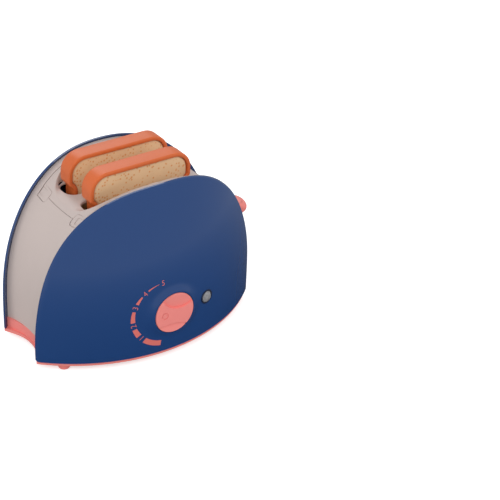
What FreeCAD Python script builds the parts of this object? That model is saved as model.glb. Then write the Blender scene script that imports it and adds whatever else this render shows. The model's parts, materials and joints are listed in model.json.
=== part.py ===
import FreeCAD, Part
import math
import os

os.makedirs("parts", exist_ok=True)
V = FreeCAD.Vector

# Toy toaster, in millimetres. X runs along the length with the push lever at +X, the dial faces -Y,
# +Z is up and the feet stand on z = 0. The pieces are modelled about the middle of the case, and
# FRAME_SHIFT moves them at the end, so that the origin is under the middle of the whole toy.

# Joined shapes run JOIN into each other, cutting shapes run PAST what they cut, and points nearer than
# TOUCH count as one
JOIN = 1.0
PAST = 1.0
TOUCH = 0.05

# Case outline: an arch |x/a|^p + (z/h)^q = 1, cut from panels that bulge in plan and lean back
CASE_HALF_LENGTH = 105.0
PANEL_HEIGHT = 144.0
ARCH_POWER_X = 2.42
ARCH_POWER_Z = 2.60
ARCH_STEPS = 24
PANEL_PLAN_RADIUS = 154.1
PANEL_AXIS_Y = 83.2
PANEL_STRAIGHT_HEIGHT = 35.6
PANEL_LEAN_RADIUS = 277.3
PANEL_RIM_THICKNESS = 2.6
PANEL_SKIN = 2.0
PANEL_RIM_WIDTH = 7.0
PANEL_EDGE_RADIUS = 1.2
CASE_FIT = 0.2

# Floor, feet and base tray
FOOT_HEIGHT = 6.1
FOOT_RADIUS = 5.0
FOOT_SPIGOT_RADIUS = 2.5
FOOT_EDGE_RADIUS = 1.6
FOOT_X = 84.0
FOOT_Y = 36.0
BASE_PLATE = 2.9
BASE_SETBACK = 1.0
BASE_GAP = 1.0
BASE_LEDGE = 0.6
BASE_WALL_HEIGHT = 9.0
PANEL_BOTTOM_Z = FOOT_HEIGHT + BASE_PLATE
BASE_TOP_Z = PANEL_BOTTOM_Z + BASE_WALL_HEIGHT

# Body band between the panels, hollow at its ends
BODY_WALL = 2.6
BODY_GAP = 4.2
TOP_GAP = 2.3
END_SAG = 6.2
TOP_SAG = 2.5
SAG_REACH = 1.6
FLANGE_WIDTH = 8.0
FLANGE_THICKNESS = 2.4
BAND_STATIONS = 6
BAND_HALF_DEPTH = 78.0

# Top deck, its dish, slots and latch tabs
DECK_HALF_LENGTH = 63.5
DECK_STRIP = 6.4
SEAM_GAP = 0.5
DISH_FLOOR_Z = 131.5
DISH_POWER = 2.8
DISH_LEVELS = 4
DISH_POINTS = 32
DISH_FLOOR_HALF_LENGTH = 54.0
DISH_FLOOR_HALF_WIDTH = 30.5
DISH_HALF_LENGTH = 63.0
DISH_HALF_WIDTH = 38.0
DISH_WALL = 2.6
DISH_HEIGHT = 26.0
SLOT_END_CLEARANCE = 2.0
SLOT_SIDE_CLEARANCE = 3.5
SLOT_CORNER_RADIUS = 9.0
SLOT_MOUTH = 1.6
TAB_LENGTH = 8.0
TAB_START_Y = 20.0
TAB_CORNER_RADIUS = 2.5
TAB_INSET = 1.6
TAB_RECESS_START = 3.4
GROOVE_WIDTH = 0.5
GROOVE_DEPTH = 0.7

# Toast slices
TOAST_WIDTH = 95.0
TOAST_HEIGHT = 84.0
TOAST_THICKNESS = 15.0
TOAST_PITCH = 34.0
TOAST_CENTRE_X = -2.5
TOAST_TOP_Z = 162.0
TOAST_SHOULDER_RADIUS = 16.0
TOAST_LOBE_HEIGHT = 21.0
TOAST_NECK = 4.5
TOAST_NECK_ANGLE = 50.0
TOAST_FOOT_RADIUS = 8.0
CRUST_WALL = 3.4
CRUST_PROUD = 1.2
BREAD_FACE = 2.0

# Carriage, rods, springs and lever
TRAVEL = 40.0
ROD_RADIUS = 2.0
ROD_LEFT_X = -66.0
ROD_RIGHT_X = 68.0
ROD_TOP_Z = 118.0
ROD_SOCKET_RADIUS = 5.0
ROD_SOCKET_DEPTH = 8.0
ROD_SEAT_HEIGHT = 5.0
ROD_SINK = 1.0
SLIDE_CLEARANCE = 0.07
BUSH_RADIUS = 4.5
BUSH_LENGTH = 20.0
BUSH_DROP = 4.0
BUSH_HOLD_WALL = 3.0
TRAY_THICKNESS = 2.4
TRAY_HALF_WIDTH = 27.0
TRAY_SPINE_HALF_WIDTH = 9.0
TRAY_RIB_HEIGHT = 12.0
TRAY_RIB_THICKNESS = 1.6
TRAY_RIB_CLEARANCE = 0.6
TRAY_RIB_HALF_LENGTH = 38.0
SPRING_RADIUS = 3.6
SPRING_WIRE_RADIUS = 0.5
SPRING_TURNS = 9
LEVER_Z = 79.5
ARM_WIDTH = 5.0
ARM_HEIGHT = 7.0
ARM_GRIP = 8.0
PADDLE_HALF_LENGTH = 10.0
PADDLE_HALF_WIDTH = 12.5
PADDLE_THICKNESS = 9.6
PADDLE_EDGE_RADIUS = 4.2
PADDLE_GAP = 4.0
LEVER_SLOT_WIDTH = 8.0
LEVER_SLOT_MARGIN = 2.5

# Dial knob, its well and collar, and the printed scale
KNOB_Z = 44.5
KNOB_RADIUS = 18.3
KNOB_PROUD = 2.0
KNOB_THICKNESS = 6.4
KNOB_EDGE_RADIUS = 1.0
# each scoop's direction, the distance of its edge from the middle, its radius and its depth
KNOB_SCOOPS = ((75.0, 4.2, 19.3, 2.2), (262.0, 10.0, 47.0, 1.4))
KNOB_SCOOP_DEPTH = 2.2
KNOB_MARK_RADIUS = 3.0
KNOB_MARK_LINE = 0.6
KNOB_MARK_REACH = 9.6
KNOB_SHAFT_COVER = 1.0
KNOB_CLEARANCE = 0.5
DIAL_DEPTH = 5.0
DIAL_BOSS_WALL = 2.6
COLLAR_PROUD = 1.2
COLLAR_TOP_WIDTH = 1.2
COLLAR_SLOPE_WIDTH = 7.0
COLLAR_HEIGHT = 3.8
REST_ANGLE = 186.0
SCALE_CENTRE_X = -8.2
SCALE_CENTRE_Z = 46.4
SCALE_RADIUS = 28.6
SCALE_PRINT = 0.12
SCALE_CUT_FRONT = 5.0
SCALE_CUT_DEPTH = 20.0
SCALE_STOPS = (93.0, 128.0, 157.0, 192.0, 222.0, 262.0)
SCALE_DIGIT_ROOM = 7.0
SCALE_WIDTHS = (0.2, 1.2, 2.7, 3.9, 4.8, 4.8)

# Lamp
LAMP_X = 35.0
LAMP_Z = 45.2
LENS_RADIUS = 5.2
LENS_FACETS = 12
LENS_TABLE_RADIUS = 2.9
LENS_PROUD = 1.8
LENS_STEP = 0.2
BEZEL_RADIUS = 6.4
BEZEL_PROUD = 0.7
LENS_FLANGE_RADIUS = 7.6
LENS_FLANGE = 1.4
LED_RADIUS = 2.5
LED_LENGTH = 5.0
LED_GAP = 0.6
LED_RIM = 0.4
LED_RIM_LENGTH = 1.0
BOARD_LENGTH = 20.0
BOARD_HEIGHT = 16.0
BOARD_THICKNESS = 1.6
BOARD_LEFT = -3.0
BOARD_POST_RADIUS = 2.0
BOARD_POST_X = 11.5
BOARD_POST_SPACING = 9.0

# Timer
SHAFT_RADIUS = 2.0
SHAFT_CLEARANCE = 0.06
ARBOR_RADIUS = 1.0
PLATE_THICKNESS = 1.5
PLATE_LEFT_X = -25.0
PLATE_RIGHT_X = 29.0
PLATE_LOW_Z = 22.0
PLATE_HIGH_Z = 82.0
PLATE_CORNER_RADIUS = 4.0
PLATE_EAR_RADIUS = 4.5
FRONT_PLATE_Y = -57.0
BACK_PLATE_Y = -38.5
POST_RADIUS = 2.5
POST_MARGIN = 4.0
GEAR_Y = -46.5
GEAR_MODULE = 1.0
GEAR_TEETH = 36
PINION_TEETH = 9
GEAR_THICKNESS = 3.0
GEAR_BACKLASH = 0.25
GEAR_ADDENDUM = 0.85
GEAR_DEDENDUM = 1.2
GEAR_PRESSURE_ANGLE = 20.0
GEAR_HOLES = 5
GEAR_HOLE_RADIUS = 3.6
GEAR_HOLE_REACH = 10.5
GEAR_HUB_WALL = 2.0
GEAR_HUB_FRONT = 2.0
GEAR_HUB_BACK = 0.5
PINION_MARGIN = 0.5
MESH_ANGLE = 40.0
MESH_PLAY = 0.15
ESCAPE_Y = -53.2
ESCAPE_TIP_RADIUS = 9.0
ESCAPE_ROOT_RADIUS = 7.0
ESCAPE_TEETH = 15
ESCAPE_THICKNESS = 1.5
ESCAPE_HUB_RADIUS = 2.8
ESCAPE_TIP_SHARE = 0.28
ESCAPE_FLANK_SHARE = 0.62
PALLET_RISE = 15.0
PALLET_GAP = 0.8
PALLET_SPREAD = 45.0
PALLET_HUB_RADIUS = 3.0
PALLET_ROOT_HALF_WIDTH = 2.0
PALLET_NIB_LENGTH = 1.6
PALLET_NIB_TOE = 0.9
PALLET_NIB_HEEL = 1.4
PALLET_NIB_BACK = 1.0
PALLET_ELBOW_OUT = 1.8
PALLET_ELBOW_UP = 3.6
CAM_RADIUS = 8.0
CAM_LOBE_RADIUS = 12.0
CAM_THICKNESS = 1.5
CAM_GAP = 0.6
CAM_LOBE_TIP = 3.0
CAM_START_ANGLE = 65.0
SPIRAL_START_RADIUS = 3.4
SPIRAL_PITCH = 2.2
SPIRAL_HALF_TURNS = 9
SPIRAL_STRIP = 0.5
SPIRAL_WIDTH = 2.4
SPIRAL_GAP = 0.8
TIMER_SCREW_RADIUS = 1.3
TIMER_SCREW_REACH = 4.0
TIMER_SCREW_HEAD = 2.6
TIMER_SCREW_HEAD_HEIGHT = 1.6
TIMER_SCREW_SLOT_HALF_WIDTH = 0.4
TIMER_SCREW_SLOT_DEPTH = 0.8
TIMER_BOSS_RADIUS = 3.5

# Catch
CATCH_X = -18.0
CATCH_Z = 66.0
CATCH_ARM_WIDTH = 5.0
CATCH_THICKNESS = 2.4
CATCH_REACH = 28.5
CATCH_NOSE = 3.5
CATCH_NOSE_HEIGHT = 3.5
CATCH_NOSE_DEPTH = 1.6
CATCH_PLAY = 0.3
CATCH_TAIL = 10.0
CATCH_EYE_WALL = 1.0
CATCH_FOLLOWER_GAP = 1.2
CATCH_PIN_RADIUS = 1.25
CATCH_PIN_PLAY = 0.3
CATCH_PIN_HEAD = 1.0
CATCH_PLANE_Y = -35.6
LUG_LEFT_X = -11.0
LUG_RIGHT_X = -5.0
LUG_OVERHANG = 0.6
CATCH_SPRING_RADIUS = 2.0
CATCH_SPRING_WIRE = 0.35
CATCH_SPRING_TURNS = 6
CATCH_SPRING_LENGTH = 14.0
SHELF_LEFT = 3.0
SHELF_RIGHT = 6.0
SHELF_OVERHANG = 1.0

# Cells, switch and screws
CELL_RADIUS = 5.2
CELL_LENGTH = 43.5
CELL_NUB = 1.0
CELL_NUB_RADIUS = 1.9
CELL_CLEARANCE = 0.5
CELL_BOX_WALL = 1.6
CONTACT_THICKNESS = 0.5
CONTACT_GAP = 1.2
CONTACT_MARGIN = 1.0
CONTACT_DIMPLE_RADIUS = 1.4
DOOR_THICKNESS = 2.0
DOOR_CLEARANCE = 0.3
DOOR_LIP = 1.5
DOOR_TONGUE = 8.0
DOOR_SEAT_GAP = 0.1
DOOR_SCREW_LENGTH = 8.0
DOOR_SCREW_ROOF = 1.0
SCREW_RADIUS = 1.4
SCREW_HEAD_RADIUS = 2.8
SCREW_HEAD_HEIGHT = 1.8
SCREW_LENGTH = 20.0
SCREW_END_GAP = 1.0
EAR_SCREW_LENGTH = 10.0
SCREW_CROSS_REACH = 1.7
SCREW_CROSS_HALF_WIDTH = 0.35
SCREW_CROSS_DEPTH = 1.1
SCREW_BOSS_RADIUS = 3.8
SCREW_X = 82.0
SCREW_Y = 13.0
EAR_X = 45.0
EAR_WIDTH = 12.0
EAR_DEPTH = 11.0
EAR_HEIGHT = 8.0
SWITCH_X = -42.0
SWITCH_Y = -14.0
SWITCH_LENGTH = 10.0
SWITCH_WIDTH = 6.0
SWITCH_HEIGHT = 9.0
LEAF_THICKNESS = 0.4
LEAF_HALF_WIDTH = 2.0
LEAF_SPREAD = 2.0
LEAF_BEND = 5.0
LEAF_STEP = 3.0
LEAF_PRESS_GAP = 1.0

# Values that follow from the ones above
TOAST_BOTTOM_Z = TOAST_TOP_Z - TOAST_HEIGHT
TRAY_BOTTOM_Z = TOAST_BOTTOM_Z - TRAY_THICKNESS
TRAY_DOWN_TOP_Z = TOAST_BOTTOM_Z - TRAVEL
BUSH_LOW_Z = TRAY_BOTTOM_Z - BUSH_DROP
ROD_SEAT_Z = PANEL_BOTTOM_Z + ROD_SEAT_HEIGHT
PANEL_FACE_Y = PANEL_AXIS_Y - PANEL_PLAN_RADIUS
KNOB_FACE_Y = PANEL_FACE_Y - KNOB_PROUD
DIAL_FLOOR_Y = PANEL_FACE_Y + DIAL_DEPTH
WELL_RADIUS = KNOB_RADIUS + KNOB_CLEARANCE
END_FACE_X = CASE_HALF_LENGTH - BODY_GAP - END_SAG
PADDLE_X = END_FACE_X + PADDLE_GAP + PADDLE_HALF_LENGTH
SLOT_HALF_WIDTH = TOAST_THICKNESS / 2 + SLOT_SIDE_CLEARANCE
MESH_DISTANCE = GEAR_MODULE * (GEAR_TEETH + PINION_TEETH) / 2 + MESH_PLAY
ESCAPE_X = MESH_DISTANCE * math.cos(math.radians(MESH_ANGLE))
ESCAPE_Z = KNOB_Z + MESH_DISTANCE * math.sin(math.radians(MESH_ANGLE))
PALLET_Z = ESCAPE_Z + PALLET_RISE
CAM_Y = BACK_PLATE_Y + PLATE_THICKNESS + CAM_GAP
TIMER_EARS = ((-32.0, 52.0), (37.5, 74.0))
FRAME_SHIFT = V(-(PADDLE_X + PADDLE_HALF_LENGTH - CASE_HALF_LENGTH) / 2, KNOB_PROUD / 2, 0)


def block(x_low, x_high, y_low, y_high, z_low, z_high):
    return Part.makeBox(x_high - x_low, y_high - y_low, z_high - z_low, V(x_low, y_low, z_low))


def rounded_block(x_low, x_high, y_low, y_high, z_low, z_high, radius):
    """A block with its four upright edges rounded."""
    solid = block(x_low, x_high, y_low, y_high, z_low, z_high)
    upright_edges = [e for e in solid.Edges if abs(e.tangentAt(e.FirstParameter).z) > 0.9]
    return solid.makeFillet(radius, upright_edges)


def upright(radius, x, y, z_low, z_high):
    return Part.makeCylinder(radius, z_high - z_low, V(x, y, z_low), V(0, 0, 1))


def crosswise(radius, x, z, y_low, y_high):
    return Part.makeCylinder(radius, y_high - y_low, V(x, y_low, z), V(0, 1, 0))


def lengthwise(radius, y, z, x_low, x_high):
    return Part.makeCylinder(radius, x_high - x_low, V(x_low, y, z), V(1, 0, 0))


def fused(shapes):
    return shapes[0].multiFuse(shapes[1:]).removeSplitter()


def export(name, shape):
    placed = shape.copy()
    placed.translate(FRAME_SHIFT)
    placed.exportStep("parts/%s.step" % name)
    solids = len(placed.Solids)
    print("%-20s solids %2d  volume %9.1f  valid %s" % (name, solids, placed.Volume, placed.isValid()))


# Case surfaces

def arch_point(half_length, height, turn):
    """A point of the arch; turn runs from 0 at its left foot to pi at its right foot."""
    across = math.cos(turn)
    along = abs(across) ** (2 / ARCH_POWER_X)
    up = max(0.0, math.sin(turn)) ** (2 / ARCH_POWER_Z)
    return -math.copysign(along, across) * half_length, PANEL_BOTTOM_Z + up * height


def arch_turns():
    return [math.pi * step / ARCH_STEPS for step in range(ARCH_STEPS + 1)]


def arch_prism(inset, y_low, y_high):
    """The arch of the panels, drawn in by inset and carried from y_low to y_high."""
    points = []
    for turn in arch_turns():
        x, z = arch_point(CASE_HALF_LENGTH - inset, PANEL_HEIGHT - inset, turn)
        points.append(V(x, y_low, z))
    curve = Part.BSplineCurve()
    curve.interpolate(points, InitialTangent=V(0, 0, 1), FinalTangent=V(0, 0, -1))
    foot = Part.makeLine(points[-1], points[0])
    face = Part.Face(Part.Wire([curve.toShape(), foot]))
    return face.extrude(V(0, y_high - y_low, 0))


def plan_radius(z, depth):
    """Radius of a panel's face about its upright axis at height z, depth under the outer face."""
    over = max(0.0, z - PANEL_BOTTOM_Z - PANEL_STRAIGHT_HEIGHT)
    lean = PANEL_LEAN_RADIUS - depth
    return PANEL_PLAN_RADIUS - PANEL_LEAN_RADIUS + math.sqrt(lean ** 2 - over ** 2)


def panel_y(x, z, depth):
    """How far the panel's face stands from the middle plane at x and z."""
    return math.sqrt(plan_radius(z, depth) ** 2 - x ** 2) - PANEL_AXIS_Y


def bulge(side, depth):
    """Everything behind a panel's outer face less depth; side is -1 at the front, +1 at the back."""
    axis_y = -side * PANEL_AXIS_Y
    start_z = PANEL_BOTTOM_Z + PANEL_STRAIGHT_HEIGHT
    top_z = PANEL_BOTTOM_Z + PANEL_HEIGHT + DISH_WALL
    middle_z = (start_z + top_z) / 2

    def corner(radius, z):
        return V(0, axis_y - side * radius, z)

    foot = corner(plan_radius(0, depth), 0)
    start = corner(plan_radius(start_z, depth), start_z)
    middle = corner(plan_radius(middle_z, depth), middle_z)
    top = corner(plan_radius(top_z, depth), top_z)
    edges = [
        Part.makeLine(corner(0, 0), foot),
        Part.makeLine(foot, start),
        Part.Arc(start, middle, top).toShape(),
        Part.makeLine(top, corner(0, top_z)),
        Part.makeLine(corner(0, top_z), corner(0, 0)),
    ]
    profile = Part.Face(Part.Wire(edges))
    return profile.revolve(V(0, axis_y, 0), V(0, 0, 1), 360)


def core(depth):
    """The space between the two panels, depth under both outer faces."""
    return bulge(-1, depth).common(bulge(1, depth))


def band_inset(x, y, z, edge_gap):
    """How far the body band lies inside the panels' arch: most in the middle, least at the panels, where it
    is the body's own gap or, for the base plate, edge_gap."""
    rise = (z - PANEL_BOTTOM_Z) / PANEL_HEIGHT
    gap = BODY_GAP + (TOP_GAP - BODY_GAP) * rise ** 2
    sag = END_SAG + (TOP_SAG - END_SAG) * rise ** 2
    reach = min((y / panel_y(x, z, PANEL_RIM_THICKNESS)) ** 2, SAG_REACH)
    return gap + sag - (gap + sag - (gap if edge_gap is None else edge_gap)) * reach


def band_envelope(inset, edge_gap=None):
    """The closed space under the body band's outer surface, drawn in by inset."""
    grid = []
    for station in range(-BAND_STATIONS, BAND_STATIONS + 1):
        y = BAND_HALF_DEPTH * station / BAND_STATIONS
        row = []
        for turn in arch_turns():
            x, z = arch_point(CASE_HALF_LENGTH, PANEL_HEIGHT, turn)
            drawn = band_inset(x, y, z, edge_gap) + inset
            x, z = arch_point(CASE_HALF_LENGTH - drawn, PANEL_HEIGHT - drawn, turn)
            row.append(V(x, y, z))
        under = V(0, 0, PANEL_BOTTOM_Z)
        half_under = under * 0.5
        row = [row[0] - under, row[0] - half_under] + row + [row[-1] - half_under, row[-1] - under]
        grid.append(row)
    surface = Part.BSplineSurface()
    surface.interpolate(grid)
    skin = surface.toShape()
    front_left, front_right = grid[0][0], grid[0][-1]
    back_left, back_right = grid[-1][0], grid[-1][-1]

    def rim(first, second):
        edges = [e for e in skin.Edges
                 if min(e.Vertexes[0].Point.distanceToPoint(p) for p in (first, second)) < TOUCH
                 and min(e.Vertexes[1].Point.distanceToPoint(p) for p in (first, second)) < TOUCH]
        return edges[0]

    faces = [
        skin,
        Part.Face(Part.Wire([rim(front_left, front_right), Part.makeLine(front_right, front_left)])),
        Part.Face(Part.Wire([rim(back_left, back_right), Part.makeLine(back_right, back_left)])),
        Part.Face(Part.Wire([
            rim(front_left, back_left),
            Part.makeLine(back_left, back_right),
            rim(back_right, front_right),
            Part.makeLine(front_right, front_left),
        ])),
    ]
    shell = Part.Shell(faces)
    shell.sewShape()
    solid = Part.Solid(shell)
    if solid.Volume < 0:
        solid.reverse()
    return solid


INSIDE_DEPTH = PANEL_RIM_THICKNESS + CASE_FIT
BAND = band_envelope(0)
BAND_INSIDE = band_envelope(BODY_WALL)
CORE = core(INSIDE_DEPTH)
CASE_HIGH_Z = PANEL_BOTTOM_Z + PANEL_HEIGHT + DISH_WALL


# Panels

def panel_blank(side):
    """One arched, bulged panel with a thicker rim and a rounded outer edge."""
    y_low = min(0, side * BAND_HALF_DEPTH)
    y_high = max(0, side * BAND_HALF_DEPTH)
    behind = bulge(side, PANEL_RIM_THICKNESS)
    plate = arch_prism(0, y_low, y_high).common(bulge(side, 0)).cut(behind)
    outer_edges = []
    for edge in plate.Edges:
        point = edge.valueAt((edge.FirstParameter + edge.LastParameter) / 2)
        on_face = abs(abs(point.y) - panel_y(point.x, point.z, 0)) < TOUCH
        if on_face and point.z > PANEL_BOTTOM_Z + PANEL_EDGE_RADIUS and edge.Length > CASE_HALF_LENGTH:
            outer_edges.append(edge)
    plate = plate.makeFillet(PANEL_EDGE_RADIUS, outer_edges)
    pocket = arch_prism(PANEL_RIM_WIDTH, y_low, y_high).common(bulge(side, PANEL_SKIN))
    rim_foot = block(-CASE_HALF_LENGTH, CASE_HALF_LENGTH, y_low, y_high, 0, PANEL_BOTTOM_Z + PANEL_RIM_WIDTH)
    return plate.cut(pocket.cut(rim_foot))


def panel_ears(side):
    """Two lugs low inside a panel, that the base is screwed to."""
    ears = []
    for x in (-EAR_X, EAR_X):
        inner = panel_y(x, PANEL_BOTTOM_Z, PANEL_RIM_THICKNESS)
        y_near = side * (inner + JOIN)
        y_far = side * (inner - EAR_DEPTH)
        ears.append(block(x - EAR_WIDTH / 2, x + EAR_WIDTH / 2, min(y_near, y_far), max(y_near, y_far),
                          PANEL_BOTTOM_Z, PANEL_BOTTOM_Z + EAR_HEIGHT))
    return ears


def ear_screw_y(side):
    return side * (panel_y(EAR_X, PANEL_BOTTOM_Z, PANEL_RIM_THICKNESS) - EAR_DEPTH / 2)


def dial_boss(grow):
    """The thick round behind the knob's well, grown by a clearance."""
    return crosswise(WELL_RADIUS + DIAL_BOSS_WALL + grow, 0, KNOB_Z, PANEL_FACE_Y + JOIN,
                     DIAL_FLOOR_Y + DIAL_BOSS_WALL + grow)


def dial_collar():
    """The low cone that rises from the panel to the knob's edge."""
    top_radius = WELL_RADIUS + COLLAR_TOP_WIDTH
    return Part.makeCone(top_radius, top_radius + COLLAR_SLOPE_WIDTH, COLLAR_HEIGHT,
                         V(0, PANEL_FACE_Y - COLLAR_PROUD, KNOB_Z), V(0, 1, 0))


LAMP_TURN = math.degrees(math.asin(LAMP_X / PANEL_PLAN_RADIUS))
LAMP_FACE_Y = -panel_y(LAMP_X, LAMP_Z, 0)
LENS_BACK = PANEL_SKIN + LENS_FLANGE
LED_TIP = LENS_BACK + LED_GAP
BOARD_FRONT = LED_TIP + LED_LENGTH


def at_lamp(shape):
    """Turns a shape made on the Y axis, with y = 0 at the panel's face, square to the panel at the lamp."""
    placed = shape.copy()
    placed.rotate(V(0, 0, 0), V(0, 0, 1), LAMP_TURN)
    placed.translate(V(LAMP_X, LAMP_FACE_Y, LAMP_Z))
    return placed


def timer_bosses():
    """Two posts inside the front panel that carry the timer."""
    bosses = []
    for x, z in TIMER_EARS:
        boss = crosswise(TIMER_BOSS_RADIUS, x, z, -panel_y(x, z, JOIN), FRONT_PLATE_Y)
        hole = crosswise(TIMER_SCREW_RADIUS, x, z, FRONT_PLATE_Y - TIMER_SCREW_REACH, FRONT_PLATE_Y)
        bosses.append(boss.cut(hole))
    return bosses


def front_panel():
    pieces = [panel_blank(-1)] + panel_ears(-1)
    pieces.append(dial_boss(0).common(bulge(-1, JOIN)))
    pieces.append(dial_collar())
    pieces += timer_bosses()
    for z in (-BOARD_POST_SPACING / 2, BOARD_POST_SPACING / 2):
        pieces.append(at_lamp(crosswise(BOARD_POST_RADIUS, BOARD_POST_X, z, JOIN, BOARD_FRONT)))
    panel = fused(pieces)
    panel = panel.cut(crosswise(WELL_RADIUS, 0, KNOB_Z, KNOB_FACE_Y - PAST, DIAL_FLOOR_Y))
    panel = panel.cut(crosswise(SHAFT_RADIUS + SHAFT_CLEARANCE, 0, KNOB_Z, PANEL_FACE_Y, FRONT_PLATE_Y))
    panel = panel.cut(at_lamp(crosswise(BEZEL_RADIUS, 0, 0, -BEZEL_RADIUS, LENS_BACK)))
    panel = panel.cut(at_lamp(crosswise(LENS_FLANGE_RADIUS + CASE_FIT, 0, 0, PANEL_SKIN, BOARD_FRONT)))
    return panel.cut(ear_screw_holes(-1))


def ear_screw_holes(side):
    holes = [upright(SCREW_RADIUS, x, ear_screw_y(side), 0, BASE_TOP_Z + EAR_HEIGHT) for x in (-EAR_X, EAR_X)]
    return holes[0].fuse(holes[1])


def back_panel():
    return fused([panel_blank(1)] + panel_ears(1)).cut(ear_screw_holes(1))


# Body, deck and base

def deck_region(grow):
    """Plan of the deck with its four latch tabs, grown by the seam's gap."""
    half = DECK_HALF_LENGTH + grow
    pieces = [block(-half, half, -BAND_HALF_DEPTH, BAND_HALF_DEPTH,
                    DISH_FLOOR_Z - 3 * DISH_HEIGHT, CASE_HIGH_Z)]
    for side in (-1, 1):
        for end in (-1, 1):
            pieces.append(tab_block(side, end, grow))
    region = pieces[0].multiFuse(pieces[1:])
    return region.common(core(INSIDE_DEPTH + DECK_STRIP - grow))


def tab_block(side, end, grow):
    """One latch tab, across the seam; side is -1 at the front, end is -1 at the left."""
    x_near = end * (DECK_HALF_LENGTH - TAB_LENGTH / 2 - grow)
    x_far = end * (DECK_HALF_LENGTH + TAB_LENGTH / 2 + grow)
    y_near = side * (TAB_START_Y - grow)
    y_far = side * BAND_HALF_DEPTH
    return rounded_block(min(x_near, x_far), max(x_near, x_far), min(y_near, y_far), max(y_near, y_far),
                         PANEL_BOTTOM_Z, CASE_HIGH_Z, TAB_CORNER_RADIUS + grow)


def rod_places():
    return ((ROD_LEFT_X, 0), (ROD_RIGHT_X, 0))


def screw_places():
    return [(x, y) for x in (-SCREW_X, SCREW_X) for y in (-SCREW_Y, SCREW_Y)]


def body_shell():
    outer = BAND.common(CORE)
    band = outer.cut(BAND_INSIDE)
    lips = outer.cut(core(INSIDE_DEPTH + FLANGE_THICKNESS)).cut(band_envelope(FLANGE_WIDTH))
    pieces = [band, lips]
    for x, y in rod_places():
        socket = upright(ROD_SOCKET_RADIUS, x, y, ROD_TOP_Z - ROD_SOCKET_DEPTH, CASE_HIGH_Z)
        pieces.append(socket.common(outer))
    for x, y in screw_places():
        boss = upright(SCREW_BOSS_RADIUS, x, y, PANEL_BOTTOM_Z, BASE_TOP_Z + SCREW_LENGTH)
        reach = math.copysign(CASE_HALF_LENGTH, x)
        rib = block(min(x, reach), max(x, reach), y - BODY_WALL / 2, y + BODY_WALL / 2,
                    BASE_TOP_Z, BASE_TOP_Z + SCREW_LENGTH)
        pieces += [boss, rib.common(outer)]
    shell = fused(pieces)
    shell = shell.cut(deck_region(SEAM_GAP))
    under = block(-CASE_HALF_LENGTH, CASE_HALF_LENGTH, -BAND_HALF_DEPTH, BAND_HALF_DEPTH, 0, BASE_TOP_Z)
    shell = shell.cut(under.cut(upright_bosses(0)))
    slot_low = LEVER_Z - TRAVEL - ARM_HEIGHT / 2 - LEVER_SLOT_MARGIN
    slot_high = LEVER_Z + ARM_HEIGHT / 2 + LEVER_SLOT_MARGIN
    slot = block(SCREW_X, CASE_HALF_LENGTH, -LEVER_SLOT_WIDTH / 2, LEVER_SLOT_WIDTH / 2, slot_low, slot_high)
    shell = shell.cut(slot)
    for x, y in rod_places():
        shell = shell.cut(upright(ROD_RADIUS, x, y, PANEL_BOTTOM_Z, ROD_TOP_Z))
    for x, y in screw_places():
        shell = shell.cut(upright(SCREW_RADIUS, x, y, 0, FOOT_HEIGHT + SCREW_LENGTH))
    return shell.removeSplitter()


def upright_bosses(grow):
    """The four screw posts of the body, where they reach down to the base plate."""
    posts = [upright(SCREW_BOSS_RADIUS + grow, x, y, PANEL_BOTTOM_Z, BASE_TOP_Z) for x, y in screw_places()]
    return posts[0].multiFuse(posts[1:])


def dish_ring(half_length, half_width, z):
    points = []
    for step in range(DISH_POINTS):
        turn = 2 * math.pi * step / DISH_POINTS
        along = math.cos(turn)
        across = math.sin(turn)
        x = math.copysign(abs(along) ** (2 / DISH_POWER), along) * half_length
        y = math.copysign(abs(across) ** (2 / DISH_POWER), across) * half_width
        points.append(V(x, y, z))
    curve = Part.BSplineCurve()
    curve.interpolate(points, PeriodicFlag=True)
    return Part.Wire([curve.toShape()])


def dish(grow):
    """The soft oval hollow in the deck: a flat floor, then walls that open upwards."""
    rings = []
    for level in range(DISH_LEVELS + 1):
        share = level / DISH_LEVELS
        spread = math.sqrt(1 - (1 - share) ** 2)
        length = DISH_FLOOR_HALF_LENGTH + (DISH_HALF_LENGTH - DISH_FLOOR_HALF_LENGTH) * spread
        width = DISH_FLOOR_HALF_WIDTH + (DISH_HALF_WIDTH - DISH_FLOOR_HALF_WIDTH) * spread
        rings.append(dish_ring(length + grow, width + grow, DISH_FLOOR_Z - grow + DISH_HEIGHT * share ** 2))
    return Part.makeLoft(rings, True, False)


def level_face(solid, z):
    """The level face of a solid that lies at height z."""
    return [f for f in solid.Faces if abs(f.BoundBox.ZMin - z) < TOUCH and abs(f.BoundBox.ZMax - z) < TOUCH][0]


def slot_cut(y):
    """One bread slot, with a mouth that widens at the dish floor."""
    x_low = TOAST_CENTRE_X - TOAST_WIDTH / 2 - SLOT_END_CLEARANCE
    x_high = TOAST_CENTRE_X + TOAST_WIDTH / 2 + SLOT_END_CLEARANCE
    through = rounded_block(x_low, x_high, y - SLOT_HALF_WIDTH, y + SLOT_HALF_WIDTH,
                            DISH_FLOOR_Z - 3 * DISH_WALL, CASE_HIGH_Z, SLOT_CORNER_RADIUS)
    low = level_face(through, DISH_FLOOR_Z - 3 * DISH_WALL)
    narrow = low.OuterWire.copy()
    narrow.translate(V(0, 0, 3 * DISH_WALL - SLOT_MOUTH))
    wide = rounded_block(x_low - SLOT_MOUTH, x_high + SLOT_MOUTH, y - SLOT_HALF_WIDTH - SLOT_MOUTH,
                         y + SLOT_HALF_WIDTH + SLOT_MOUTH, DISH_FLOOR_Z, CASE_HIGH_Z,
                         SLOT_CORNER_RADIUS + SLOT_MOUTH)
    mouth = Part.makeLoft([narrow, level_face(wide, DISH_FLOOR_Z).OuterWire], True, True)
    return through.fuse(mouth)


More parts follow.
